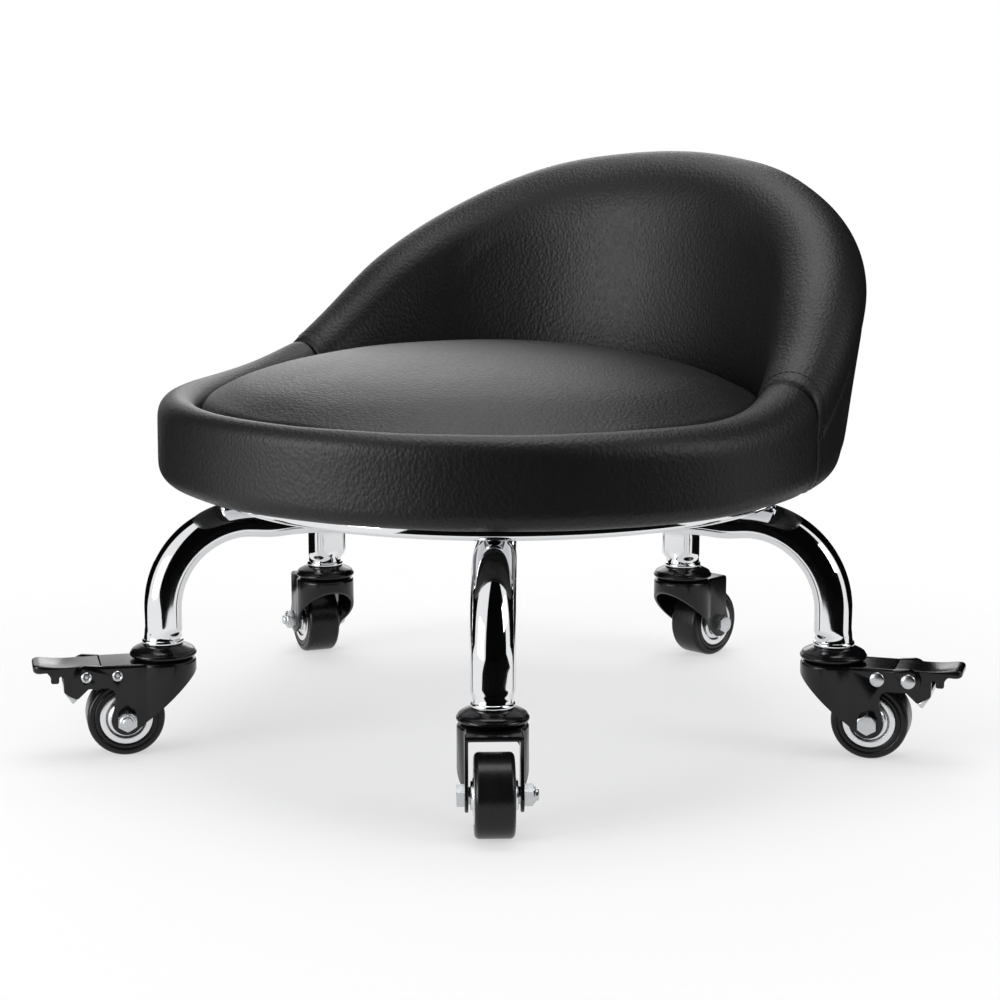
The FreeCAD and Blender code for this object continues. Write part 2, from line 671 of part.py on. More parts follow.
def make_fork(name, angle, turn):
    """One pressed sheet: a crown, a round wall ahead of the stem and a plate on each side of the wheel."""
    body = new_body("fork_" + name)
    braked = name in BRAKED
    ring = d.crown_radius
    inside = ring - d.fork_sheet
    waist = d.fork_waist
    hollow = waist + d.fork_sheet
    boss = d.plate_boss
    low = axle_height - boss
    end = d.trail + (d.brake_crown_beyond if braked else d.crown_beyond)
    # The hollow bend touches the round end and the plate, both on a line from its centre.
    out = ring + waist
    side = fork_outer + waist
    start = root(out * out - side * side)
    touch = (start * ring / out, side * ring / out)
    within = (start * inside / out, side * inside / out)
    crown = new_sketch(body, "XY_Plane", crown_bottom, "Crown")
    add_outline(crown, ((end, -fork_outer), (end, fork_outer), (start, fork_outer), touch, (-ring, ZERO),
                        (touch[0], -touch[1]), (start, -fork_outer)),
                {2: (waist, -1), 3: (ring, 1), 4: (ring, 1), 5: (waist, -1)})
    pad(body, crown, d.crown_thickness, "CrownPlate")
    rounded_top(body, end)
    wall = new_sketch(body, "XY_Plane", low, "RoundWall")
    add_outline(wall, ((start, fork_half), (start, fork_outer), touch, (-ring, ZERO), (touch[0], -touch[1]),
                       (start, -fork_outer), (start, -fork_half), (within[0], -within[1]), (-inside, ZERO),
                       within),
                {1: (waist, -1), 2: (ring, 1), 3: (ring, 1), 4: (waist, -1),
                 6: (hollow, 1), 7: (inside, -1), 8: (inside, -1), 9: (hollow, 1)})
    pad(body, wall, crown_bottom - low, "RoundWallPad")
    outline, arcs = plate_outline(braked, start, end)
    for label, lift in (("Left", -fork_outer), ("Right", fork_half)):
        plate = new_sketch(body, "XZ_Plane", lift, label + "Plate")
        add_outline(plate, outline, arcs)
        pad(body, plate, d.fork_sheet, label + "PlatePad")
    # The leading edge runs from the foot of the wall to touch the boss round the axle.
    back, drop = -(ring + d.trail), skirt_bottom - axle_height
    span = back * back + drop * drop
    near = boss * boss / span
    across = boss * root(span - boss * boss) / span
    tangent = (d.trail + back * near - drop * across, axle_height + drop * near + back * across)
    lead = new_sketch(body, "XZ_Plane", -d.overrun, "LeadingEdge")
    add_outline(lead, ((-ring - waist, skirt_bottom), (-ring - waist, low - waist), (d.trail, low - waist),
                       (d.trail, low), tangent, (-ring, skirt_bottom)), {3: (boss, -1)})
    pocket(body, lead, d.overrun * 2, "LeadingCut").Reversed = True
    bores = new_sketch(body, "XZ_Plane", d.overrun, "AxleBore")
    add_circle(bores, d.trail, axle_height, d.axle_diameter)
    if braked:
        add_circle(bores, pivot_reach, pivot_height, d.pivot_diameter)
    pocket(body, bores, d.overrun * 2, "AxleHoles")
    if braked:
        spacer = new_sketch(body, "XZ_Plane", d.overrun, "SpacerBore")
        add_circle(spacer, d.trail + d.spacer_beyond, pivot_height, d.spacer_diameter)
        pocket(body, spacer, d.overrun * 2, "SpacerHoles")
    drill(body, ((ZERO, ZERO),), d.stem_diameter + d.swivel_clearance * 2, crown_top, d.crown_thickness)
    body.Placement = caster_place(angle, turn)


def make_axle(name, angle, turn):
    shank = cylinder("AxleShank", d.axle_diameter, fork_outer * 2 + d.nut_height + d.bolt_end,
                     -(fork_outer + d.nut_height + d.bolt_end))
    head = hexagon("AxleHead", d.hex_across, d.head_height, fork_outer)
    bolt = fused("AxleBolt", shank, head)
    block = hexagon("NutBlock", d.hex_across, d.nut_height, -(fork_outer + d.nut_height))
    bore = cylinder("NutBore", d.axle_diameter, d.nut_height, -(fork_outer + d.nut_height))
    nut = cut("Nut", block, bore)
    group("axle_bolt_" + name, (bolt, nut), axle_place(angle, turn))


def make_sleeve(name, angle, turn):
    inner = d.axle_diameter / 2
    outer = d.sleeve_diameter / 2
    body = turned("axle_sleeve_" + name, (
        (inner, -fork_half), (outer, -fork_half), (outer, fork_half), (inner, fork_half)))
    body.Placement = axle_place(angle, turn)


def make_wheel(name, angle, turn):
    bore = d.sleeve_diameter / 2 + d.run_clearance
    face = d.rim_width / 2
    edge = face - d.rim_recess
    hub = d.hub_diameter / 2
    foot = hub + d.hub_slope
    ring = rim_radius - d.hub_slope
    low = edge - d.web_dish
    side = [(bore, -face), (hub, -face), (foot, -edge), (foot + d.web_dish, -low),
            (ring - d.web_dish, -low), (ring, -edge), (rim_radius, -edge)]
    body = turned("wheel_rim_" + name, side + [(x, -y) for x, y in reversed(side)])
    body.Placement = axle_place(angle, turn)
    outer = d.wheel_diameter / 2
    bend = d.tread_corner
    body = turned("wheel_tread_" + name, (
        (rim_radius, -edge), (outer - bend, -edge), (outer, -(edge - bend)), (outer, edge - bend),
        (outer - bend, edge), (rim_radius, edge)), {1: (bend, 1), 3: (bend, 1)})
    body.Placement = axle_place(angle, turn)


def make_pedal(name, place):
    """Bent channel: a top that rises to a turned-down lip, over two cheeks with the brake arm."""
    body = new_body("brake_pedal_" + name)
    half = fork_half - d.pedal_play
    top = d.pedal_top
    under = top - d.pedal_sheet
    high = top + d.pedal_upturn
    bend = d.lip_corner
    inside = bend - d.pedal_sheet
    lip = d.pedal_tip - d.pedal_sheet
    sketch = new_sketch(body, "XZ_Plane", -half, "Top")
    add_outline(sketch, (
        (-d.pedal_front, top), (-d.pedal_front, under), (d.pedal_waist, under),
        (lip - inside, high - d.pedal_sheet), (lip, high - bend), (lip, high - d.lip_drop),
        (d.pedal_tip, high - d.lip_drop), (d.pedal_tip, high - bend), (d.pedal_tip - bend, high),
        (d.pedal_waist, top)), {3: (inside, -1), 7: (bend, 1)})
    pad(body, sketch, half * 2, "TopPlate")
    catch = d.catch_reach - d.catch_width
    cheek = ((-d.cheek_front, under), (-d.cheek_front, -d.cheek_drop), (-d.throat_lead, -d.throat_drop),
             (d.shoe_lead, -d.shoe_drop), (d.arm_rear, -d.arm_drop), (d.arm_rear, d.catch_notch),
             (catch, d.catch_notch), (catch, -d.catch_drop), (d.catch_reach, -d.catch_drop),
             (d.catch_reach, d.catch_notch), (d.cheek_rear, top))
    for label, lift in (("Left", -half), ("Right", half - d.pedal_sheet)):
        sketch = new_sketch(body, "XZ_Plane", lift, label + "Cheek")
        add_outline(sketch, cheek)
        pad(body, sketch, d.pedal_sheet, label + "CheekPad")
    hole = new_sketch(body, "XZ_Plane", d.overrun, "PivotBore")
    add_circle(hole, ZERO, ZERO, d.pivot_diameter + d.swivel_clearance * 2)
    pocket(body, hole, d.overrun * 2, "PivotHole")
    body.Placement = place


def make_shoe(name, place):
    """Bare wedge on the end of the brake arm, with a tongue between the cheeks."""
    body = new_body("brake_shoe_" + name)
    half = fork_half - d.pedal_play
    front, rear = (d.shoe_lead, -d.shoe_drop), (d.arm_rear, -d.arm_drop)
    wedge = new_sketch(body, "XZ_Plane", -half, "Wedge")
    add_outline(wedge, (front, (d.shoe_tip, -d.shoe_tip_drop), rear))
    pad(body, wedge, half * 2, "WedgePad")
    tongue = new_sketch(body, "XZ_Plane", d.pedal_sheet - half, "Tongue")
    add_outline(tongue, (front, rear, (rear[0], rear[1] + d.shoe_tongue),
                         (front[0], front[1] + d.shoe_tongue)))
    pad(body, tongue, (half - d.pedal_sheet) * 2, "TonguePad")
    body.Placement = place


def make_rivets(name, place):
    """Pivot rivet of the pedal and the spacer rivet over the wheel, with domed heads."""
    members = []
    head = d.rivet_head / 2
    rise = d.rivet_head_height
    dome = cap_radius(head, rise)
    back = d.trail + d.spacer_beyond - pivot_reach
    for label, diameter, shift in (("Pivot", d.pivot_diameter, ZERO), ("Spacer", d.spacer_diameter, back)):
        shank = diameter / 2
        rivet = doc.addObject("PartDesign::Body", label + "Rivet")
        sketch = new_sketch(rivet, "XZ_Plane")
        add_outline(sketch, (
            (ZERO, -(fork_outer + rise)), (head, -fork_outer), (shank, -fork_outer), (shank, fork_outer),
            (head, fork_outer), (ZERO, fork_outer + rise)), {0: (dome, 1), 4: (dome, 1)})
        turn = rivet.newObject("PartDesign::Revolution", "Turn")
        turn.Profile = sketch
        turn.ReferenceAxis = (sketch, ["V_Axis"])
        turn.Angle = 360.0
        rivet.Tip = turn
        rivet.Placement = placed(axis=FreeCAD.Vector(1, 0, 0), angle=90.0)
        bind(rivet, "Placement.Base.x", shift)
        members.append(rivet)
    group("brake_rivet_" + name, members, place)


def make_brake(name, angle, turn):
    pivot = placed(pivot_reach.value, 0.0, pivot_height.value)
    place = caster_place(angle, turn).multiply(pivot)
    make_pedal(name, place)
    make_shoe(name, place)
    make_rivets(name, place)


# Seat: boards, lining, cushion, padded rim and back

def make_board():
    body = turned("seat_board", (
        (ZERO, board_bottom), (board_radius, board_bottom), (board_radius, board_top), (ZERO, board_top)))
    drill(body, around(seat_screw_circle, SEAT_SCREW_ANGLES), d.seat_screw_diameter,
          board_bottom + d.seat_screw_length, d.seat_screw_length)
    drill(body, ((ZERO, ZERO),), d.pin_head + d.pin_head_height, board_bottom
          + d.pin_head_height * 2, d.pin_head_height * 2)


def make_seat_screws():
    members = []
    for x, y in around(seat_screw_circle, SEAT_SCREW_ANGLES):
        head = cylinder("SeatHead", d.seat_screw_head, d.seat_screw_head_height,
                        upper_bottom - d.seat_screw_head_height)
        shank = cylinder("SeatShank", d.seat_screw_diameter, d.plate_sheet + d.seat_screw_length,
                         upper_bottom)
        screw = fused("SeatScrew", head, shank)
        bind(screw, "Placement.Base.x", x)
        bind(screw, "Placement.Base.y", y)
        members.append(screw)
    group("seat_screws", members)


def make_cloth():
    low = board_bottom - d.cloth_thickness
    inner = d.plate_diameter / 2 + d.cloth_clearance
    outer = board_radius - d.cloth_margin
    turned("dust_cloth", (
        (inner, low), (outer, low), (outer, board_bottom), (inner, board_bottom)))


def make_cushion():
    edge = d.cushion_diameter / 2
    bend = d.cushion_edge_radius
    rise = d.cushion_crown
    shoulder = board_top + d.cushion_edge
    inner = edge - bend
    crown = cap_radius(inner, rise)
    side = d.cushion_edge - bend
    tuck = d.cushion_tuck
    swell = cap_radius(side, tuck)
    body = turned("seat_cushion", (
        (ZERO, board_top), (edge - tuck, board_top), (edge, shoulder - bend), (inner, shoulder),
        (ZERO, shoulder + rise)), {1: (swell, 1), 2: (bend, 1), 3: (crown, 1)})
    body.Placement = placed(0.0, -d.cushion_offset.value, 0.0)


def inner_radius(theta):
    """Inner wall from the swivel axis at an angle from the back axis."""
    wall = d.cushion_diameter.value / 2 + d.cushion_gap.value
    shift = d.cushion_offset.value
    return -shift * math.cos(theta) + math.sqrt(wall ** 2 - (shift * math.sin(theta)) ** 2)


def crest_height(share):
    """Top line of the back, from its axis (0) to the seam (1), as a smooth run through its shares."""
    share = min(abs(share), 1.0)
    steps, levels = CREST_STEP_SHARES, CREST_SHARES
    i = max(k for k in range(len(steps) - 1) if steps[k] <= share)
    span = steps[i + 1] - steps[i]
    mix = (share - steps[i]) / span
    start = 0.0
    if i > 0:
        start = (levels[i + 1] - levels[i - 1]) / (steps[i + 1] - steps[i - 1]) * span
    end = levels[i + 1] - levels[i]
    if i + 2 < len(steps):
        end = (levels[i + 2] - levels[i]) / (steps[i + 2] - steps[i]) * span
    rest = 1 - mix
    level = (levels[i] * rest * rest * (1 + 2 * mix) + levels[i + 1] * mix * mix * (3 - 2 * mix)
             + start * mix * rest * rest - end * mix * mix * rest)
    return board_top.value + d.seam_rise.value + (d.back_rise.value - d.seam_rise.value) * level


def smooth(x):
    x = min(max(x, 0.0), 1.0)
    return x * x * (3 - 2 * x)


def wall_section(theta, top, lean):
    """Closed outline of the padded wall in the upright plane at an angle from the back axis."""
    way = FreeCAD.Vector(math.sin(theta), math.cos(theta), 0)

    def at(r, z):
        return way * r + FreeCAD.Vector(0, 0, z)

    outer = seat_radius.value
    inner = inner_radius(theta)
    bend = (outer - inner) / 2
    low = seat_bottom.value
    corner = d.rim_corner.value
    board = board_radius.value + d.board_clearance.value
    ledge = board_top.value
    shoulder = top - bend
    mid = low + corner + (shoulder - low - corner) * LEAN_LOW_SHARE
    dip = math.sqrt(0.5)
    spots = {
        "corner": at(outer - corner + corner * dip, low + corner - corner * dip),
        "wall": at(outer + lean * math.sqrt(LEAN_LOW_SHARE), mid),
        "out": at(inner + bend + bend * dip + lean, shoulder + bend * dip),
        "in": at(inner + bend - bend * dip + lean, shoulder + bend * dip),
    }
    crest = at(inner + bend + lean, top)
    edges = [
        Part.LineSegment(at(board, ledge), at(board, low)),
        Part.LineSegment(at(board, low), at(outer - corner, low)),
        Part.Arc(at(outer - corner, low), spots["corner"], at(outer, low + corner)),
    ]
    foot = at(outer, low + corner)
    head = at(outer + lean, shoulder)
    edges += [
        Part.Arc(foot, spots["wall"], head),
        Part.Arc(head, spots["out"], crest),
        Part.Arc(crest, spots["in"], at(inner + lean, shoulder)),
        Part.LineSegment(at(inner + lean, shoulder), at(inner, ledge)),
        Part.LineSegment(at(inner, ledge), at(board, ledge)),
    ]
    return Part.Wire([e.toShape() for e in edges])


def lofted(label, wires):
    feature = doc.addObject("Part::Feature", "F_" + label)
    feature.Label = label
    shape = Part.makeLoft(wires, True, False)
    feature.Shape = shape
    exported.append(feature)
    return feature


def make_back():
    seam = math.radians(d.back_seam_angle.value)
    wires = []
    for share in BACK_STEP_SHARES:
        lean = d.rim_lean.value + (d.back_lean.value - d.rim_lean.value) * (1 - smooth(2 * abs(share) - 1))
        wires.append(wall_section(share * seam, crest_height(share), lean))
    return lofted("backrest", wires)


def make_rim():
    seam = math.radians(d.back_seam_angle.value)
    span = 2 * math.pi - 2 * seam
    wires = []
    for share in RIM_STEP_SHARES:
        fall = smooth(min(share, 1 - share) / RIM_FALL_SHARE)
        rise = d.seam_rise.value + (d.rim_rise.value - d.seam_rise.value) * fall
        wires.append(wall_section(seam + span * share, board_top.value + rise, d.rim_lean.value))
    return lofted("seat_rim", wires)


def make_back_board(back):
    """Bent ply standing on the seat board inside the padding."""
    body = new_body("back_board")
    outer = back_ply_radius
    inner = outer - d.back_board_thickness
    half = math.radians(d.back_board_angle.value)
    s, c = math.sin(half), math.cos(half)
    sketch = new_sketch(body, "XY_Plane", board_top, "Arc")
    add_outline(sketch, ((outer * s, outer * c), (-outer * s, outer * c),
                         (-inner * s, inner * c), (inner * s, inner * c)),
                {0: (outer, 1), 2: (inner, -1)})
    pad(body, sketch, d.back_board_height, "Wall")
    doc.recompute()
    back.Shape = back.Shape.cut(body.Shape)


make_pan()
make_lower_plate()
make_pin()
make_pan_bolts()
for name, angle, turn in LEGS:
    make_leg(name, angle)
    make_stem(name, angle)
    make_cap(name, angle)
    make_fork(name, angle, turn)
    make_axle(name, angle, turn)
    make_sleeve(name, angle, turn)
    make_wheel(name, angle, turn)
    if name in BRAKED:
        make_brake(name, angle, turn)
make_upper_plate()
make_balls()
make_board()
make_seat_screws()
make_cloth()
make_cushion()
padded_back = make_back()
make_rim()
make_back_board(padded_back)

doc.recompute()
for item in doc.Objects:
    if "Invalid" in item.State or "Error" in item.State:
        raise RuntimeError("%s did not build" % item.Label)
os.makedirs("parts", exist_ok=True)
for item in exported:
    shape = item.Shape
    if shape.isNull() or not shape.isValid() or not shape.Solids:
        raise RuntimeError("%s is not a sound solid" % item.Label)
    shape.exportStep("parts/%s.step" % item.Label)
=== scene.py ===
"""Looks of the low rolling stool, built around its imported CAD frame."""

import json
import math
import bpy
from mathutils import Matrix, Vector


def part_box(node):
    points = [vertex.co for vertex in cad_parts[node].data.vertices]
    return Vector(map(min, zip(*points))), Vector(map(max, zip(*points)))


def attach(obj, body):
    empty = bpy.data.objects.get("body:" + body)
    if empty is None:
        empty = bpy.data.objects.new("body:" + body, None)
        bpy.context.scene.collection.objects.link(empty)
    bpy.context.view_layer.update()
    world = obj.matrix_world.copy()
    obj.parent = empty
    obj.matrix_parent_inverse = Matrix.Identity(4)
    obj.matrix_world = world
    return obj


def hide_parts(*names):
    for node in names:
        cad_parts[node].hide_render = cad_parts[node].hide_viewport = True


bl_info = {
    "name": "Rolling stool looks",
    "version": (1, 0, 0),
    "blender": (4, 5, 0),
    "location": "View3D > Sidebar > Stool",
    "description": "Upholstery, chrome, casters and studio for the low rolling stool",
    "category": "Object",
}

import bmesh
import bpy
from bpy.props import FloatProperty, FloatVectorProperty, IntProperty, PointerProperty, StringProperty
from mathutils import Matrix, Vector, kdtree, noise

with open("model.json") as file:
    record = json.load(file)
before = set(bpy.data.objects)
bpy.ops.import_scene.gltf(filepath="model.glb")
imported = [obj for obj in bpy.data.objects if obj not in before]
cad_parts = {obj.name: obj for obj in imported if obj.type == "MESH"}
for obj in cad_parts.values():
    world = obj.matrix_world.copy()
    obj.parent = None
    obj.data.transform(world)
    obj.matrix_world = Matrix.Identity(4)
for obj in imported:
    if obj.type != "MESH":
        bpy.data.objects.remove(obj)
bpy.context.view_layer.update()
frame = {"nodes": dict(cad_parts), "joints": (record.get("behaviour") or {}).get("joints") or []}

MM = 0.001
UP = Vector((0, 0, 1))
JOINTS = {joint["name"]: joint for joint in frame["joints"]}
CASTERS = ("rear", "left", "front_left", "front_right", "right")
BRAKED = ("front_left", "right")

# Shares of the back's top line between its seam and its crown, from the back axis to the seam.
CREST_SHARES = (1.0, 0.98, 0.925, 0.811, 0.64, 0.43, 0.155, 0.0)
CREST_STEP_SHARES = (0.0, 0.15, 0.3, 0.45, 0.6, 0.75, 0.9, 1.0)

# Steepness of the rim's fall from the seam, and how far the flanks' fullest place lies towards the seam.
RIM_FALL, FLANK_PEAK = 2.4, 1.2
# Shares of the seam angle where the lower edge starts to grow rounder, and over which it grows.
CORNER_START, CORNER_SPAN = 1.35, 0.45

# Mesh points on the wall's inner face, crest, outer face, lower edge and shelf: for the back, for the rim,
# and for a line sewn over the wall.
BACK_COUNTS, RIM_COUNTS, LINE_COUNTS = (22, 14, 28, 5, 8), (6, 10, 7, 5, 6), (30, 24, 40, 6, 4)

# Leather out past the lining, height where the cushion's edge bends down, and the rounding of that edge.
COVER_REACH, CUSHION_SHOULDER, CUSHION_BEND = 16 * MM, 173 * MM, 6 * MM

# Black cloths round the set, in degrees from the camera, to its right.
FLAG_SPANS = ((-34, 66), (90, 170), (-150, -96))


def width_of(node):
    low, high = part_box(node)
    return high.x - low.x


def top_of(node):
    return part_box(node)[1].z


def foot_of(node):
    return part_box(node)[0].z


def length(name, description, millimetres):
    """A length that can be set in the sidebar."""
    return FloatProperty(name=name, description=description, unit="LENGTH", default=millimetres * MM)


class UpholsterySizes(bpy.types.PropertyGroup):
    """Sizes and colours of the padded seat."""

    seam_angle: FloatProperty(name="Seam angle", description="Seam from the back axis", subtype="ANGLE",
                              default=math.radians(81.4))
    seam_top: length("Seam top", "Top line at the seam", 187)
    rim_top: length("Rim top", "Top line of the front rim", 174.5)
    rim_run: FloatProperty(name="Rim run", description="Share of the seam angle in which the rim runs out level",
                           default=0.36)
    lean: length("Back lean", "Back wall out past the rim at its top", 11)
    flank: length("Flank", "Padding out past the wall on the back's flanks", 4.5)
    corner: length("Lower corner", "Rounding of the lower edge", 9)
    back_corner: length("Back corner", "Radius of the back's lower outer edge", 16)
    seam_hold: length("Seam hold", "Length next to a seam in which the foam fills out", 24)
    lap: length("Lap", "Overlap of the covers under the board", 4)
    wall_gap: length("Wall gap", "Cushion to the padded wall", 0.4)
    tuck: length("Seam tuck", "How deep the leather is drawn in at a seam", 0.6)
    mesh_step: length("Mesh step", "Mesh spacing before the simulation", 5)
    pressure: FloatProperty(name="Fill pressure", description="Pressure of the foam on the leather", default=4.0)
    swell: length("Most swell", "Most that a point of the leather may move", 2.5)
    stitch_pitch: length("Stitch pitch", "Thread spacing along a seam", 3.2)
    leather: StringProperty(name="Leather", description="Leather colour, sRGB hex", default="0D0D0E")


class MetalSizes(bpy.types.PropertyGroup):
    """Sizes and colours of the base and the casters."""

    leg_depth: length("Leg depth", "Leg from flat face to crest", 17.4)
    leg_corner: length("Leg corner", "Rounding beside the flat face", 4)
    leg_bend: length("Leg bend", "Bend radius of the centre line", 43)
    leg_knee: length("Leg knee", "Height where the bend starts", 72)
    leg_inner: length("Leg inner end", "Inner end from the axis", 60)
    steps: IntProperty(name="Turning steps", description="Faces round a turned piece", default=96)
    edge_break: length("Edge break", "Rounding of pressed steel edges", 0.45)
    chrome: StringProperty(name="Chrome", description="Chrome colour, sRGB hex", default="E4E5E7")
    coat: StringProperty(name="Powder coat", description="Fork colour, sRGB hex", default="08080A")
    tyre: StringProperty(name="Tyre", description="Tyre colour, sRGB hex", default="0B0B0C")


class StudioSizes(bpy.types.PropertyGroup):
    """Camera and light."""

    camera_place: FloatVectorProperty(name="Camera", description="Camera position", subtype="TRANSLATION",
                                      default=(0.7371, -0.9791, 0.3330))
    camera_turn: FloatProperty(name="Turn", description="Camera turn about Z", subtype="ANGLE",
                               default=math.radians(36.96))
    camera_tilt: FloatProperty(name="Tilt", description="Camera down from level", subtype="ANGLE",
                               default=math.radians(10.013))
    lens: FloatProperty(name="Lens", description="Focal length in mm on a 36 mm sensor", default=87.73)
    floor_radius: length("Floor", "Floor radius", 3000)
    floor: StringProperty(name="Floor colour", description="Floor colour, sRGB hex", default="F6F6F6")
    floor_lift: FloatProperty(name="Floor lift", description="Share of plain white in the floor that is seen",
                              subtype="FACTOR", default=0.58)
    fade_start: length("Fade start", "Where the floor starts to fade out, from the axis", 240)
    fade_end: length("Fade end", "Where the floor is gone", 500)
    fill_light: FloatProperty(name="Fill light", description="Light of the white surroundings", default=0.45)
    flag_inner: length("Flag inner edge", "Black cloth on the floor and overhead, from the axis", 360)
    flag_radius: length("Flag radius", "Black cloth wall from the axis", 2400)
    flag_height: length("Flag height", "Height of the black cloth wall", 1900)


# Small helpers

def linear(hexcode):
    """sRGB hex to linear colour."""
    parts = [int(hexcode[i:i + 2], 16) / 255 for i in (0, 2, 4)]
    return tuple(p / 12.92 if p <= 0.04045 else ((p + 0.055) / 1.055) ** 2.4 for p in parts) + (1.0,)


def node(tree, kind, inputs=None, **settings):
    """Adds a node with its settings; an input that is a socket is linked."""
    made = tree.nodes.new(kind)
    for key, value in settings.items():
        setattr(made, key, value)
    for key, value in (inputs or {}).items():
        if isinstance(value, bpy.types.NodeSocket):
            tree.links.new(value, made.inputs[key])
        else:
            made.inputs[key].default_value = value
    return made


def new_material(name):
    """An empty material and its node tree."""
    material = bpy.data.materials.new(name)
    material.use_nodes = True
    material.node_tree.nodes.clear()
    return material, material.node_tree


def paler(colour, share):
    """A linear colour raised by a share."""
    return tuple(part * share for part in colour[:3]) + (1.0,)


def mesh_piece(name, points, faces, sharp=math.radians(38)):
    """A smooth-shaded mesh object, with edges over the sharp angle left crisp."""
    mesh = bpy.data.meshes.new(name)
    mesh.from_pydata([tuple(p) for p in points], [], faces)
    mesh.validate()
    mesh.polygons.foreach_set("use_smooth", [True] * len(mesh.polygons))
    mesh.set_sharp_from_angle(angle=sharp)
    piece = bpy.data.objects.new(name, mesh)
    bpy.context.scene.collection.objects.link(piece)
    return piece


def skin_faces(count, rings, loop=False):
    """Quads between rings of count points each."""
    faces = []
    for i in range(rings if loop else rings - 1):
        a, b = i * count, ((i + 1) % rings) * count
        for j in range(count):
            k = (j + 1) % count
            faces.append((a + j, a + k, b + k, b + j))
    return faces


def tube_faces(count, rings, start=0):
    """Faces of a tube of rings with both ends closed, for points from a start on."""
    faces = [tuple(start + k for k in face) for face in skin_faces(count, rings)]
    faces.append(tuple(start + k for k in reversed(range(count))))
    faces.append(tuple(start + (rings - 1) * count + k for k in range(count)))
    return faces


def round_points(radius, steps, height=0.0):
    """Points round a level circle."""
    turns = [2 * math.pi * i / steps for i in range(steps)]
    return [Vector((radius * math.cos(a), radius * math.sin(a), height)) for a in turns]


def arc(middle, radius, first, last, steps):
    """Points of an outline along an arc between two angles."""
    x, z = middle
    turns = [first + (last - first) * i / steps for i in range(steps + 1)]
    return [(x + radius * math.cos(a), z + radius * math.sin(a)) for a in turns]


def faced_out(piece, weld=False):
    """Turns a piece's faces outwards; points that fall together are welded first where asked."""
    build = bmesh.new()
    build.from_mesh(piece.data)
    if weld:
        bmesh.ops.remove_doubles(build, verts=build.verts, dist=1e-7)
    bmesh.ops.recalc_face_normals(build, faces=build.faces)
    build.to_mesh(piece.data)
    build.free()


def turned_piece(name, profile, place, steps, sharp=math.radians(38)):
    """A closed outline in (radius, height) turned about the local Z of a placing matrix."""
    points = []
    for i in range(steps):
        a = 2 * math.pi * i / steps
        points += [place @ Vector((r * math.cos(a), r * math.sin(a), z)) for r, z in profile]
    piece = mesh_piece(name, points, skin_faces(len(profile), steps, loop=True), sharp)
    faced_out(piece, weld=True)
    piece.data.set_sharp_from_angle(angle=sharp)
    return piece


def dressed(piece, body, slot, material, *nodes):
    """Gives a piece its body and finish, and hides the CAD nodes it stands for."""
    piece.data.materials.clear()
    piece.data.materials.append(material)
    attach(piece, body)
    if nodes:
        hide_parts(*nodes)
    return piece


def finished_node(name, material):
    """A CAD node that stays in view gets its real finish."""
    cad = frame["nodes"][name]
    cad.data.materials.clear()
    cad.data.materials.append(material)


def softened_copy(node_name, piece_name, width):
    """A copy of a CAD node with its pressed edges rounded."""
    weld, flat, pressed, crisp = 1e-6, math.radians(1), math.radians(35), math.radians(32)
    build = bmesh.new()
    build.from_mesh(frame["nodes"][node_name].data)
    bmesh.ops.remove_doubles(build, verts=build.verts, dist=weld)
    bmesh.ops.dissolve_limit(build, angle_limit=flat, verts=build.verts, edges=build.edges)
    sharp = [e for e in build.edges if len(e.link_faces) == 2 and e.calc_face_angle(0) > pressed]
    bmesh.ops.bevel(build, geom=sharp, offset=width, offset_type="OFFSET", segments=2, profile=0.5,
                    affect="EDGES", clamp_overlap=True)
    bmesh.ops.recalc_face_normals(build, faces=build.faces)
    mesh = bpy.data.meshes.new(piece_name)
    build.to_mesh(mesh)
    build.free()
    mesh.polygons.foreach_set("use_smooth", [True] * len(mesh.polygons))
    mesh.set_sharp_from_angle(angle=crisp)
    piece = bpy.data.objects.new(piece_name, mesh)
    bpy.context.scene.collection.objects.link(piece)
    return piece


def subdivided(piece):
    """One smooth subdivision, settled into the mesh."""
    finer = piece.modifiers.new("Finer", "SUBSURF")
    finer.levels = 1
    view = bpy.context.evaluated_depsgraph_get()
    mesh = bpy.data.meshes.new_from_object(piece.evaluated_get(view))
    piece.modifiers.clear()
    piece.data = mesh
    mesh.polygons.foreach_set("use_smooth", [True] * len(mesh.polygons))


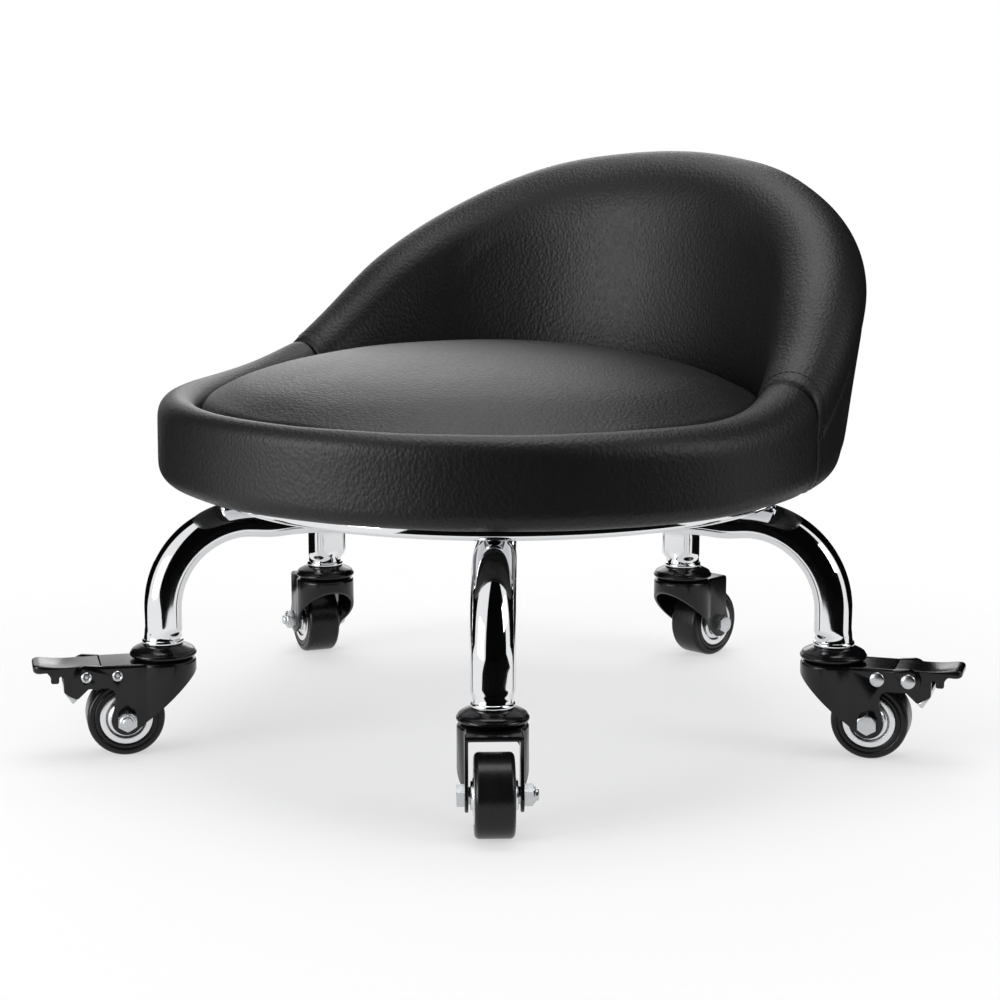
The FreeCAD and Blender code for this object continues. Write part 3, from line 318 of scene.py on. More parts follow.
def filled_with_foam(piece, held, pressure, most):
    """Swells a leather cover by cloth simulation, with the held points fixed and each move capped."""
    last_frame, rounds = 20, 12
    rest = [v.co.copy() for v in piece.data.vertices]
    pins = piece.vertex_groups.new(name="Held")
    for index, weight in held.items():
        pins.add([index], weight, "REPLACE")
    cloth = piece.modifiers.new("Cover", "CLOTH")
    cloth.settings.quality = 5
    cloth.settings.mass = 0.4
    cloth.settings.tension_stiffness = 25
    cloth.settings.compression_stiffness = 25
    cloth.settings.shear_stiffness = 12
    cloth.settings.bending_stiffness = 2.0
    cloth.settings.vertex_group_mass = "Held"
    cloth.settings.use_pressure = True
    cloth.settings.uniform_pressure_force = pressure
    cloth.settings.effector_weights.gravity = 0
    cloth.collision_settings.use_collision = False
    cloth.point_cache.frame_start = 1
    cloth.point_cache.frame_end = last_frame
    scene = bpy.context.scene
    for step in range(1, last_frame + 1):
        scene.frame_set(step)
    view = bpy.context.evaluated_depsgraph_get()
    moves = [v.co - start for v, start in zip(piece.evaluated_get(view).data.vertices, rest)]
    piece.modifiers.clear()
    scene.frame_set(1)
    beside = [[] for _ in rest]
    for edge in piece.data.edges:
        a, b = edge.vertices
        beside[a].append(b)
        beside[b].append(a)
    # Foam evens out the small buckles of the cover.
    for _ in range(rounds):
        moves = [sum((moves[k] for k in near), move) / (len(near) + 1) for move, near in zip(moves, beside)]
    for i, (vertex, start, move) in enumerate(zip(piece.data.vertices, rest, moves)):
        move *= 1 - held.get(i, 0.0)
        if move.length > most:
            move = move.normalized() * most
        vertex.co = start + move
    piece.vertex_groups.clear()


# Materials

# A Mix node of colours takes its factor and its two colours in these sockets, and gives its result in this one.
FACTOR, FIRST, SECOND, MIXED = 0, 6, 7, 2


def pu_leather():
    """PU leather, calendered and embossed: black, with broad soft highlights broken up by a pebble grain."""
    look = bpy.context.scene.stool_upholstery
    material, tree = new_material("pu_leather_black")
    where = node(tree, "ShaderNodeTexCoord")
    # The grain is drawn out upwards, as leather pulled over an edge is.
    pulled = node(tree, "ShaderNodeMapping", {"Vector": where.outputs["Object"], "Scale": (1, 1, 0.75)})
    bent = node(tree, "ShaderNodeTexNoise", {"Vector": pulled.outputs["Vector"], "Scale": 1 / (4 * MM)})
    shift = node(tree, "ShaderNodeVectorMath", {0: bent.outputs["Color"], "Scale": 0.7 * MM}, operation="SCALE")
    place = node(tree, "ShaderNodeVectorMath", {0: pulled.outputs["Vector"], 1: shift.outputs["Vector"]},
                 operation="ADD")
    # Pebbles are about 1.4 mm across, a little coarser than life so that they show in the render.
    pebble = node(tree, "ShaderNodeTexVoronoi", {"Vector": place.outputs["Vector"], "Scale": 1 / (1.4 * MM)},
                  feature="SMOOTH_F1")
    crease = node(tree, "ShaderNodeTexNoise", {"Vector": place.outputs["Vector"], "Scale": 1 / (2.6 * MM),
                                               "Detail": 3.0, "Roughness": 0.6})
    broad = node(tree, "ShaderNodeTexNoise", {"Vector": where.outputs["Object"], "Scale": 1 / (45 * MM)})
    relief = node(tree, "ShaderNodeMath", {0: crease.outputs["Fac"], 1: 0.2, 2: pebble.outputs["Distance"]},
                  operation="MULTIPLY_ADD")
    bump = node(tree, "ShaderNodeBump", {"Strength": 0.7, "Distance": 0.3 * MM,
                                         "Height": relief.outputs["Value"]}, invert=True)
    dark = linear(look.leather)
    tone = node(tree, "ShaderNodeMix", {FACTOR: broad.outputs["Fac"], FIRST: dark, SECOND: paler(dark, 1.5)},
                data_type="RGBA")
    gloss = node(tree, "ShaderNodeMapRange", {"Value": crease.outputs["Fac"], "To Min": 0.4, "To Max": 0.54})
    shader = node(tree, "ShaderNodeBsdfPrincipled", {
        "Base Color": tone.outputs[MIXED], "Roughness": gloss.outputs["Result"], "Specular IOR Level": 0.32,
        "Normal": bump.outputs["Normal"]})
    node(tree, "ShaderNodeOutputMaterial", {"Surface": shader.outputs["BSDF"]})
    return material


def seam_thread():
    """Bonded polyester thread: twisted, matt black with a faint sheen."""
    material, tree = new_material("bonded_polyester_thread")
    where = node(tree, "ShaderNodeTexCoord")
    twist = node(tree, "ShaderNodeTexWave", {"Vector": where.outputs["Object"], "Scale": 1 / (3.0 * MM),
                                             "Distortion": 1.0}, bands_direction="DIAGONAL")
    bump = node(tree, "ShaderNodeBump", {"Strength": 0.3, "Distance": 0.1 * MM, "Height": twist.outputs["Fac"]})
    tone = node(tree, "ShaderNodeMix", {FACTOR: twist.outputs["Fac"], FIRST: linear("0C0C0D"),
                                        SECOND: linear("1B1B1C")}, data_type="RGBA")
    shader = node(tree, "ShaderNodeBsdfPrincipled", {
        "Base Color": tone.outputs[MIXED], "Roughness": 0.6, "Specular IOR Level": 0.25,
        "Normal": bump.outputs["Normal"]})
    node(tree, "ShaderNodeOutputMaterial", {"Surface": shader.outputs["BSDF"]})
    return material


def chrome_plate(name, smear):
    """Chrome plate on polished steel: a clear mirror, with the slight waviness of polished tube."""
    look = bpy.context.scene.stool_metal
    material, tree = new_material(name)
    where = node(tree, "ShaderNodeTexCoord")
    wave = node(tree, "ShaderNodeTexNoise", {"Vector": where.outputs["Object"], "Scale": 1 / (22 * MM),
                                             "Detail": 1.0})
    haze = node(tree, "ShaderNodeTexNoise", {"Vector": where.outputs["Object"], "Scale": 1 / (9 * MM),
                                             "Detail": 3.0})
    bump = node(tree, "ShaderNodeBump", {"Strength": 0.06, "Distance": 0.5 * MM, "Height": wave.outputs["Fac"]})
    gloss = node(tree, "ShaderNodeMapRange", {"Value": haze.outputs["Fac"], "To Min": smear * 0.6,
                                              "To Max": smear * 1.5})
    shader = node(tree, "ShaderNodeBsdfPrincipled", {
        "Base Color": linear(look.chrome), "Metallic": 1.0, "Roughness": gloss.outputs["Result"],
        "Normal": bump.outputs["Normal"]})
    node(tree, "ShaderNodeOutputMaterial", {"Surface": shader.outputs["BSDF"]})
    return material


def powder_coat():
    """Black powder coat baked on pressed steel: deep black, half gloss, with a fine orange peel."""
    look = bpy.context.scene.stool_metal
    material, tree = new_material("powder_coat_black")
    where = node(tree, "ShaderNodeTexCoord")
    peel = node(tree, "ShaderNodeTexNoise", {"Vector": where.outputs["Object"], "Scale": 1 / (1.4 * MM)})
    wear = node(tree, "ShaderNodeTexNoise", {"Vector": where.outputs["Object"], "Scale": 1 / (14 * MM),
                                             "Detail": 4.0})
    bump = node(tree, "ShaderNodeBump", {"Strength": 0.12, "Distance": 0.2 * MM, "Height": peel.outputs["Fac"]})
    dark = linear(look.coat)
    tone = node(tree, "ShaderNodeMix", {FACTOR: wear.outputs["Fac"], FIRST: dark, SECOND: paler(dark, 1.6)},
                data_type="RGBA")
    gloss = node(tree, "ShaderNodeMapRange", {"Value": wear.outputs["Fac"], "To Min": 0.12, "To Max": 0.24})
    shader = node(tree, "ShaderNodeBsdfPrincipled", {
        "Base Color": tone.outputs[MIXED], "Roughness": gloss.outputs["Result"], "Specular IOR Level": 0.35,
        "Normal": bump.outputs["Normal"]})
    node(tree, "ShaderNodeOutputMaterial", {"Surface": shader.outputs["BSDF"]})
    return material


def zinc_plate():
    """Zinc-plated steel, turned or pressed: pale grey metal with fine drawn lines."""
    material, tree = new_material("zinc_plated_steel")
    where = node(tree, "ShaderNodeTexCoord")
    drawn = node(tree, "ShaderNodeMapping", {"Vector": where.outputs["Object"], "Scale": (1, 1, 6)})
    grain = node(tree, "ShaderNodeTexNoise", {"Vector": drawn.outputs["Vector"], "Scale": 1 / (2.5 * MM),
                                              "Detail": 3.0})
    bump = node(tree, "ShaderNodeBump", {"Strength": 0.1, "Distance": 0.1 * MM, "Height": grain.outputs["Fac"]})
    tone = node(tree, "ShaderNodeMix", {FACTOR: grain.outputs["Fac"], FIRST: linear("B4B7BA"),
                                        SECOND: linear("D8DADC")}, data_type="RGBA")
    gloss = node(tree, "ShaderNodeMapRange", {"Value": grain.outputs["Fac"], "To Min": 0.2, "To Max": 0.36})
    shader = node(tree, "ShaderNodeBsdfPrincipled", {
        "Base Color": tone.outputs[MIXED], "Metallic": 1.0, "Roughness": gloss.outputs["Result"],
        "Normal": bump.outputs["Normal"]})
    node(tree, "ShaderNodeOutputMaterial", {"Surface": shader.outputs["BSDF"]})
    return material


def tyre_rubber():
    """Moulded polyurethane tyre: black, satin on the tread, with fine moulding texture and scuffs."""
    look = bpy.context.scene.stool_metal
    material, tree = new_material("polyurethane_tyre_black")
    where = node(tree, "ShaderNodeTexCoord")
    mould = node(tree, "ShaderNodeTexNoise", {"Vector": where.outputs["Object"], "Scale": 1 / (0.9 * MM),
                                              "Detail": 3.0})
    scuff = node(tree, "ShaderNodeTexNoise", {"Vector": where.outputs["Object"], "Scale": 1 / (7 * MM),
                                              "Detail": 5.0})
    bump = node(tree, "ShaderNodeBump", {"Strength": 0.14, "Distance": 0.2 * MM, "Height": mould.outputs["Fac"]})
    dark = linear(look.tyre)
    tone = node(tree, "ShaderNodeMix", {FACTOR: scuff.outputs["Fac"], FIRST: dark, SECOND: paler(dark, 1.8)},
                data_type="RGBA")
    gloss = node(tree, "ShaderNodeMapRange", {"Value": scuff.outputs["Fac"], "To Min": 0.2, "To Max": 0.36})
    shader = node(tree, "ShaderNodeBsdfPrincipled", {
        "Base Color": tone.outputs[MIXED], "Roughness": gloss.outputs["Result"], "Specular IOR Level": 0.3,
        "Normal": bump.outputs["Normal"]})
    node(tree, "ShaderNodeOutputMaterial", {"Surface": shader.outputs["BSDF"]})
    return material


def birch_ply():
    """Raw birch plywood: pale straw wood with a faint long grain."""
    material, tree = new_material("birch_plywood")
    where = node(tree, "ShaderNodeTexCoord")
    drawn = node(tree, "ShaderNodeMapping", {"Vector": where.outputs["Object"], "Scale": (1, 9, 9)})
    grain = node(tree, "ShaderNodeTexNoise", {"Vector": drawn.outputs["Vector"], "Scale": 1 / (30 * MM),
                                              "Detail": 6.0, "Distortion": 0.6})
    bump = node(tree, "ShaderNodeBump", {"Strength": 0.1, "Distance": 0.2 * MM, "Height": grain.outputs["Fac"]})
    tone = node(tree, "ShaderNodeMix", {FACTOR: grain.outputs["Fac"], FIRST: linear("A9814F"),
                                        SECOND: linear("D9B988")}, data_type="RGBA")
    shader = node(tree, "ShaderNodeBsdfPrincipled", {
        "Base Color": tone.outputs[MIXED], "Roughness": 0.65, "Normal": bump.outputs["Normal"]})
    node(tree, "ShaderNodeOutputMaterial", {"Surface": shader.outputs["BSDF"]})
    return material


def lining_felt():
    """Spun-bonded lining: thin matt black cloth with a pressed dot pattern."""
    material, tree = new_material("spunbond_lining_black")
    where = node(tree, "ShaderNodeTexCoord")
    dots = node(tree, "ShaderNodeTexVoronoi", {"Vector": where.outputs["Object"], "Scale": 1 / (1.8 * MM),
                                               "Randomness": 0.15}, feature="F1")
    bump = node(tree, "ShaderNodeBump", {"Strength": 0.5, "Distance": 0.2 * MM,
                                         "Height": dots.outputs["Distance"]})
    tone = node(tree, "ShaderNodeMix", {FACTOR: dots.outputs["Distance"], FIRST: linear("0F0F10"),
                                        SECOND: linear("2A2A2B")}, data_type="RGBA")
    shader = node(tree, "ShaderNodeBsdfPrincipled", {
        "Base Color": tone.outputs[MIXED], "Roughness": 0.92, "Specular IOR Level": 0.2,
        "Normal": bump.outputs["Normal"]})
    node(tree, "ShaderNodeOutputMaterial", {"Surface": shader.outputs["BSDF"]})
    return material


FINISHES = {}


def finish(name):
    """Each finish is made once."""
    makers = {
        "pu_leather": pu_leather,
        "thread": seam_thread,
        "chrome": lambda: chrome_plate("chrome_plated_tube", 0.055),
        "wheel_chrome": lambda: chrome_plate("chrome_plated_pressing", 0.24),
        "black_steel": powder_coat,
        "zinc_steel": zinc_plate,
        "bearing_steel": lambda: chrome_plate("polished_bearing_steel", 0.1),
        "tyre": tyre_rubber,
        "plywood": birch_ply,
        "lining_cloth": lining_felt,
    }
    if name not in FINISHES:
        FINISHES[name] = makers[name]()
    return FINISHES[name]


# Places of the casters

def joint_frame(name):
    """A joint's place, its axis across the caster, and the level way along the caster."""
    joint = JOINTS[name]
    across = Vector(joint["axis"])
    return Vector(joint["pos_m"]), across, Vector((across.y, -across.x, 0))


def placed(spot, *axes):
    """Matrix with the given X, Y and Z axes, at a spot."""
    return Matrix.Translation(spot) @ Matrix(axes).transposed().to_4x4()


def axle_place(joint_name):
    """Matrix from axle space: Z along the joint's axis, origin at its place."""
    spot, across, along = joint_frame(joint_name)
    return placed(spot, along, across.cross(along), across)


# Upholstery forms

def smooth_step(x):
    x = min(max(x, 0.0), 1.0)
    return x * x * (3 - 2 * x)


def crest_share(share):
    """Height share of the back's top line at a share of the way to the seam."""
    share = min(abs(share), 1.0)
    steps, heights = CREST_STEP_SHARES, CREST_SHARES
    i = max(k for k in range(len(steps) - 1) if steps[k] <= share)
    span = steps[i + 1] - steps[i]
    mix = (share - steps[i]) / span
    start = 0.0
    if i > 0:
        start = (heights[i + 1] - heights[i - 1]) / (steps[i + 1] - steps[i - 1]) * span
    end = heights[i + 1] - heights[i]
    if i + 2 < len(steps):
        end = (heights[i + 2] - heights[i]) / (steps[i + 2] - steps[i]) * span
    rest = 1 - mix
    return (heights[i] * rest * rest * (1 + 2 * mix) + heights[i + 1] * mix * mix * (3 - 2 * mix)
            + start * mix * rest * rest - end * mix * mix * rest)


class TubForm:
    """The padded wall round the cushion: front rim and back share one outline."""

    def __init__(self):
        look = bpy.context.scene.stool_upholstery
        cushion_low, cushion_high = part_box("seat_cushion")
        self.look = look
        self.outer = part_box("dust_cloth")[1].x + COVER_REACH
        self.low = foot_of("seat_rim")
        self.ledge = top_of("seat_board")
        self.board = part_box("seat_board")[1].x
        self.back_top = top_of("backrest")
        self.inner = (cushion_high.x - cushion_low.x) / 2 + look.wall_gap
        self.shift = -(cushion_high.y + cushion_low.y) / 2

    def inner_radius(self, theta):
        return (-self.shift * math.cos(theta)
                + math.sqrt(self.inner ** 2 - (self.shift * math.sin(theta)) ** 2))

    def share(self, theta):
        """Share of the way from the back axis to the seam, over 1 on the front rim."""
        return abs(math.remainder(theta, 2 * math.pi)) / self.look.seam_angle

    def top(self, theta):
        look, share = self.look, self.share(theta)
        if share <= 1:
            return look.seam_top + (self.back_top - look.seam_top) * crest_share(share)
        # The rim falls away from the seam as steeply as the back does, then runs out level.
        left = 1 - min((share - 1) / look.rim_run, 1.0)
        return look.rim_top + (look.seam_top - look.rim_top) * left ** RIM_FALL

    def lean(self, theta):
        return self.look.lean * (1 - smooth_step(2 * self.share(theta) - 1))

    def fullness(self, theta):
        """Padding that stands out past the board on the flanks of the back."""
        return self.look.flank * math.sin(math.pi * min(self.share(theta), 1.0) ** FLANK_PEAK)

    def corner(self, theta):
        """Radius of the lower outer edge: the back's is rounder than the rim's."""
        look = self.look
        grown = smooth_step((CORNER_START - self.share(theta)) / CORNER_SPAN)
        return look.corner + (look.back_corner - look.corner) * grown

    def half(self, theta):
        """Half the thickness of the wall, which is the radius of its crest."""
        return (self.outer + self.fullness(theta) - self.inner_radius(theta)) / 2

    def section(self, theta, counts):
        """Points (radius, height, hidden) round the wall: inner face, crest, outer face, lower edge, underside."""
        inner, lean, half = self.inner_radius(theta), self.lean(theta), self.half(theta)
        reach = lean + self.fullness(theta)
        shoulder = self.top(theta) - half
        corner = self.corner(theta)
        wall, foot = self.low + corner, self.outer - corner
        n_in, n_crest, n_out, n_corner, n_shelf = counts
        points = []
        for i in range(n_in):
            t = i / n_in
            points.append((inner + lean * t, self.ledge + (shoulder - self.ledge) * t, i == 0))
        points += [(r, z, False) for r, z in arc((inner + lean + half, shoulder), half, math.pi, 0, n_crest)[:-1]]
        for i in range(n_out):
            t = 1 - i / n_out
            points.append((self.outer + reach * self.flare(t), wall + (shoulder - wall) * t, False))
        points += [(r, z, False) for r, z in arc((foot, wall), corner, 0, -math.pi / 2, n_corner)[:-1]]
        # The cover is turned under the board, where the lining hides its edge.
        turned, step, sheet = 10 * MM, 1 * MM, 0.3 * MM
        edge, under = self.board - turned, foot_of("seat_board")
        run = [(foot, self.low), (min(self.board, foot) - step, self.low), (edge, under - 2 * sheet),
               (edge, under - sheet), (self.board + sheet, under - sheet), (self.board + sheet, self.ledge)]
        run += [(self.board + (inner - self.board) * i / n_shelf, self.ledge) for i in range(1, n_shelf)]
        return points + [(r, z, True) for r, z in run]

    def flare(self, t):
        """Share of the lean that the outer wall has at a share of its height."""
        early = 0.6
        return math.sqrt(t) * (early + (1 - early) * t)

    def spot(self, theta, radius, height):
        return Vector((radius * math.sin(theta), radius * math.cos(theta), height))

    def outside(self, theta, height):
        """A point on the outer wall."""
        wall = self.low + self.corner(theta)
        shoulder = self.top(theta) - self.half(theta)
        t = min(max((height - wall) / (shoulder - wall), 0.0), 1.0)
        return self.spot(theta, self.outer + (self.lean(theta) + self.fullness(theta)) * self.flare(t), height)


def padded_wall(name, form, first, last, counts):
    """Closed cover mesh of the padded wall between two angles, and the points that stay held."""
    look = form.look
    tuck_reach, shortest, fewest = 6 * MM, 1 * MM, 12
    rings = max(int((last - first) * form.outer / look.mesh_step), fewest)
    points, held = [], {}
    # A ring close to each end keeps the sewn edge tight when the cover is subdivided.
    tight = 0.8 * MM / form.outer
    angles = [first, first + tight]
    angles += [first + (last - first) * i / rings for i in range(1, rings)]
    angles += [last - tight, last]
    for i, theta in enumerate(angles):
        from_seam = min(abs(theta - first), abs(theta - last)) * form.outer
        tuck = look.tuck * max(0.0, 1 - from_seam / tuck_reach) ** 2
        section = form.section(theta, counts)
        shown = [p for p in section if not p[2]]
        mid_r = sum(p[0] for p in shown) / len(shown)
        mid_z = sum(p[1] for p in shown) / len(shown)
        for radius, height, hidden in section:
            if not hidden and tuck:
                way = Vector((mid_r - radius, mid_z - height))
                radius += way.x / max(way.length, shortest) * tuck
                height += way.y / max(way.length, shortest) * tuck
            held[len(points)] = 1.0 if hidden else max(0.0, 1 - from_seam / look.seam_hold) ** 2
            # The covers lap over each other where they are turned under the board.
            lap = 0.0
            if hidden and theta in (first, last):
                lap = math.copysign(look.lap / form.outer, i - 1)
            points.append(form.spot(theta + lap, radius, height))
    count = len(points) // len(angles)
    ends = [tuple(range(count)), tuple(reversed(range(len(points) - count, len(points))))]
    piece = mesh_piece(name, points, skin_faces(count, len(angles)) + ends)
    faced_out(piece)
    return piece, held


def worked_leather(piece, amount=0.35 * MM, spread=38 * MM):
    """Slow unevenness of hand-fitted leather over foam."""
    moves = [v.normal * amount * noise.noise(v.co / spread) for v in piece.data.vertices]
    for vertex, move in zip(piece.data.vertices, moves):
        vertex.co += move


def seam_valley(piece, line, depth, width):
    """Draws the leather in along a line of points."""
    tree = kdtree.KDTree(len(line))
    for i, spot in enumerate(line):
        tree.insert(spot, i)
    tree.balance()
    moves, reach = [], 3 * width
    for vertex in piece.data.vertices:
        _, _, gap = tree.find(vertex.co)
        if gap < reach:
            moves.append((vertex, vertex.normal.copy(), depth * math.exp(-(gap / width) ** 2)))
    for vertex, way, amount in moves:
        vertex.co -= way * amount


def even_line(points, pitch):
    """Points at an even pitch along a run."""
    out, left = [points[0]], pitch
    for a, b in zip(points, points[1:]):
        step = (b - a).length
        way = (b - a).normalized() if step else Vector()
        done = 0.0
        while step - done >= left:
            done += left
            out.append(a + way * done)
            left = pitch
        left -= step - done
    return out


def stitch_row(name, line, piece, pitch, body):
    """Thread stitches lying on a piece along a line."""
    spots = even_line(line, pitch)
    points, faces = [], []
    around, along = 6, 5
    stitch, thick, lift, flat, end = pitch * 0.8, 0.3 * MM, 0.1 * MM, 0.8, 0.12
    for a, b in zip(spots, spots[1:]):
        found, place, way, _ = piece.closest_point_on_mesh((a + b) / 2)
        if not found:
            raise RuntimeError("a stitch misses its leather")
        run = (b - a).normalized()
        side = run.cross(way).normalized()
        faces += tube_faces(around, along, len(points))
        for i in range(along):
            t = i / (along - 1)
            # The thread is thickest in its middle and dips into the leather at its ends.
            swell = math.sin(math.pi * (end + (1 - 2 * end) * t))
            centre = place + run * (t - 0.5) * stitch + way * lift
            for j in range(around):
                turn = 2 * math.pi * j / around
                points.append(centre + (side * math.cos(turn) + way * math.sin(turn) * flat) * thick * swell)
    row = mesh_piece(name, points, faces)
    return dressed(row, body, "pu_leather", finish("thread"))


class STOOL_OT_stage(bpy.types.Operator):
    """White studio: floor, soft lights, background and the camera of the photograph"""

    bl_idname = "stool.stage"
    bl_label = "Studio"

    def execute(self, context):
        studio = context.scene.stool_studio
        context.scene.view_settings.view_transform = "Standard"
        self.floor(studio)
        self.flags(studio)
        self.world(context)
        self.lamps()
        data = bpy.data.cameras.new("photo_camera")
        data.lens = studio.lens
        data.sensor_width = 36.0
        data.sensor_fit = "HORIZONTAL"
        data.clip_start = 0.01
        camera = bpy.data.objects.new("photo_camera", data)
        camera.location = studio.camera_place
        camera.rotation_euler = (math.pi / 2 - studio.camera_tilt, 0, studio.camera_turn)
        context.scene.collection.objects.link(camera)
        context.scene.camera = camera
        return {"FINISHED"}

    def floor(self, studio):
        """A pale disc that fades into the white background, so there is no horizon, and keeps the shadow."""
        steps = 96
        plane = mesh_piece("studio_floor", round_points(studio.floor_radius, steps), [tuple(range(steps))])
        material, tree = new_material("painted_floor_white")
        where = node(tree, "ShaderNodeTexCoord")
        far = node(tree, "ShaderNodeVectorMath", {0: where.outputs["Object"]}, operation="LENGTH")
        fade = node(tree, "ShaderNodeMapRange", {"Value": far.outputs["Value"], "From Min": studio.fade_start,
                                                 "From Max": studio.fade_end}, interpolation_type="SMOOTHSTEP")
        matt = node(tree, "ShaderNodeBsdfDiffuse", {"Color": linear(studio.floor)})
        lift = node(tree, "ShaderNodeMath", {0: self.shown(tree), 1: studio.floor_lift}, operation="MULTIPLY")
        glow = node(tree, "ShaderNodeEmission", {"Color": linear(studio.floor), "Strength": 1.0})
        lit = node(tree, "ShaderNodeMixShader", {0: lift.outputs["Value"], 1: matt.outputs["BSDF"],
                                                 2: glow.outputs["Emission"]})
        clear = node(tree, "ShaderNodeBsdfTransparent")
        both = node(tree, "ShaderNodeMixShader", {0: fade.outputs["Result"], 1: lit.outputs["Shader"],
                                                  2: clear.outputs["BSDF"]})
        node(tree, "ShaderNodeOutputMaterial", {"Surface": both.outputs["Shader"]})
        plane.data.materials.append(material)

    def shown(self, tree):
        """1 on rays that show the set, straight, mirrored or through glass, and 0 on rays that light it."""
        path = node(tree, "ShaderNodeLightPath")
        seen = node(tree, "ShaderNodeMath", {0: path.outputs["Is Camera Ray"], 1: path.outputs["Is Glossy Ray"]},
                    operation="ADD", use_clamp=True)
        both = node(tree, "ShaderNodeMath", {0: seen.outputs["Value"], 1: path.outputs["Is Transmission Ray"]},
                    operation="ADD", use_clamp=True)
        return both.outputs["Value"]

    def flags(self, studio):
        """Black cloth round the set, seen only in reflections: it gives metal its dark bands and casts no shade."""
        steps = 24
        middle = math.atan2(studio.camera_place[1], studio.camera_place[0])
        inner, outer, foot, top = studio.flag_inner, studio.flag_radius, 1 * MM, studio.flag_height
        line = ((inner, foot), (outer, foot), (outer, top), (inner, top))
        points, faces = [], []
        for first, last in FLAG_SPANS:
            start = len(points)
            for i in range(steps + 1):
                a = middle + math.radians(first + (last - first) * i / steps)
                points += [Vector((r * math.cos(a), r * math.sin(a), z)) for r, z in line]
            for i in range(steps):
                for j in range(len(line) - 1):
                    k = start + i * len(line) + j
                    faces.append((k, k + len(line), k + len(line) + 1, k + 1))
        cloth = mesh_piece("black_flags", points, faces)
        material, tree = new_material("black_flag_cloth")
        matt = node(tree, "ShaderNodeBsdfDiffuse", {"Color": linear("0A0A0A")})
        node(tree, "ShaderNodeOutputMaterial", {"Surface": matt.outputs["BSDF"]})
        cloth.data.materials.append(material)
        cloth.visible_camera = False
        cloth.visible_diffuse = False
        cloth.visible_transmission = False
        cloth.visible_shadow = False

    def world(self, context):
        """White to the camera and in reflections, a softer level as light."""
        world = bpy.data.worlds.new("studio")
        world.use_nodes = True
        tree = world.node_tree
        tree.nodes.clear()
        fill = context.scene.stool_studio.fill_light
        strength = node(tree, "ShaderNodeMapRange", {"Value": self.shown(tree), "To Min": fill, "To Max": 1.0})
        back = node(tree, "ShaderNodeBackground", {"Color": (1, 1, 1, 1), "Strength": strength.outputs["Result"]})
        node(tree, "ShaderNodeOutputWorld", {"Surface": back.outputs["Background"]})
        context.scene.world = world

    def lamps(self):
        """A big soft key overhead, a softbox low on the left of the camera, and soft lights right and behind."""
        for name, place, aim, size, power in (
                ("key_softbox", (-0.15, 0.2, 1.7), (0, 0, 0.18), 1.2, 16.0),
                ("left_softbox", (-0.5, -1.31, 0.34), (0, 0, 0.16), 0.7, 12.0),
                ("right_softbox", (1.5, 0.35, 0.9), (0, 0, 0.18), 0.7, 7.0),
                ("rear_softbox", (-0.9, 1.2, 0.75), (0, 0, 0.2), 0.9, 5.0)):
            data = bpy.data.lights.new(name, "AREA")
            data.shape = "SQUARE"
            data.size = size
            data.energy = power
            lamp = bpy.data.objects.new(name, data)
            lamp.location = place
            lamp.rotation_euler = (Vector(aim) - Vector(place)).to_track_quat("-Z", "Y").to_euler()
            bpy.context.scene.collection.objects.link(lamp)


class STOOL_OT_cushion(bpy.types.Operator):
    """Domed loose cushion: foam under stretched leather, drawn in at its foot"""

    bl_idname = "stool.cushion"
    bl_label = "Seat cushion"

    def execute(self, context):
        look = context.scene.stool_upholstery
        low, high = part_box("seat_cushion")
        centre = Vector(((low.x + high.x) / 2, (low.y + high.y) / 2, 0))
        radius = (high.x - low.x) / 2
        shoulder, bend = CUSHION_SHOULDER, CUSHION_BEND
        tuck, hold, fullness = 2 * MM, 4 * MM, 2.5
        inner, edge = radius - bend, shoulder - bend
        count = int(inner / look.mesh_step)
        # Fuller towards its edge than a plain dome.
        profile = [(inner * i / count, shoulder + (high.z - shoulder) * (1 - (i / count) ** fullness))
                   for i in range(1, count + 1)]
        profile += arc((inner, edge), bend, math.pi / 2, 0, 5)[1:]
        profile += [(radius - tuck * t * t, edge + (low.z - edge) * t) for t in (1 / 3, 2 / 3, 1)]
        profile += [(radius * 0.8, low.z), (radius * 0.4, low.z)]
        steps = int(2 * math.pi * radius / look.mesh_step)
        points, held = [], {}
        for r, z in profile:
            if z < low.z + hold:
                held.update((len(points) + j, 1.0) for j in range(steps))
            points += [centre + spot for spot in round_points(r, steps, z)]
        faces = skin_faces(steps, len(profile))
        crown, foot, last = len(points), len(points) + 1, len(points) - steps
        points += [centre + UP * high.z, centre + UP * low.z]
        faces += [(crown, (j + 1) % steps, j) for j in range(steps)]
        faces += [(foot, last + j, last + (j + 1) % steps) for j in range(steps)]
        held[foot] = 1.0
        piece = mesh_piece("leather_cushion", points, faces)
        faced_out(piece)
        filled_with_foam(piece, held, look.pressure, look.swell)
        for vertex in piece.data.vertices:
            flat = Vector((vertex.co.x - centre.x, vertex.co.y - centre.y, 0))
            if flat.length > radius:
                flat = flat.normalized() * radius
                vertex.co = Vector((centre.x + flat.x, centre.y + flat.y, vertex.co.z))
        subdivided(piece)
        worked_leather(piece)
        dressed(piece, "seat", "pu_leather", finish("pu_leather"), "seat_cushion")
        return {"FINISHED"}


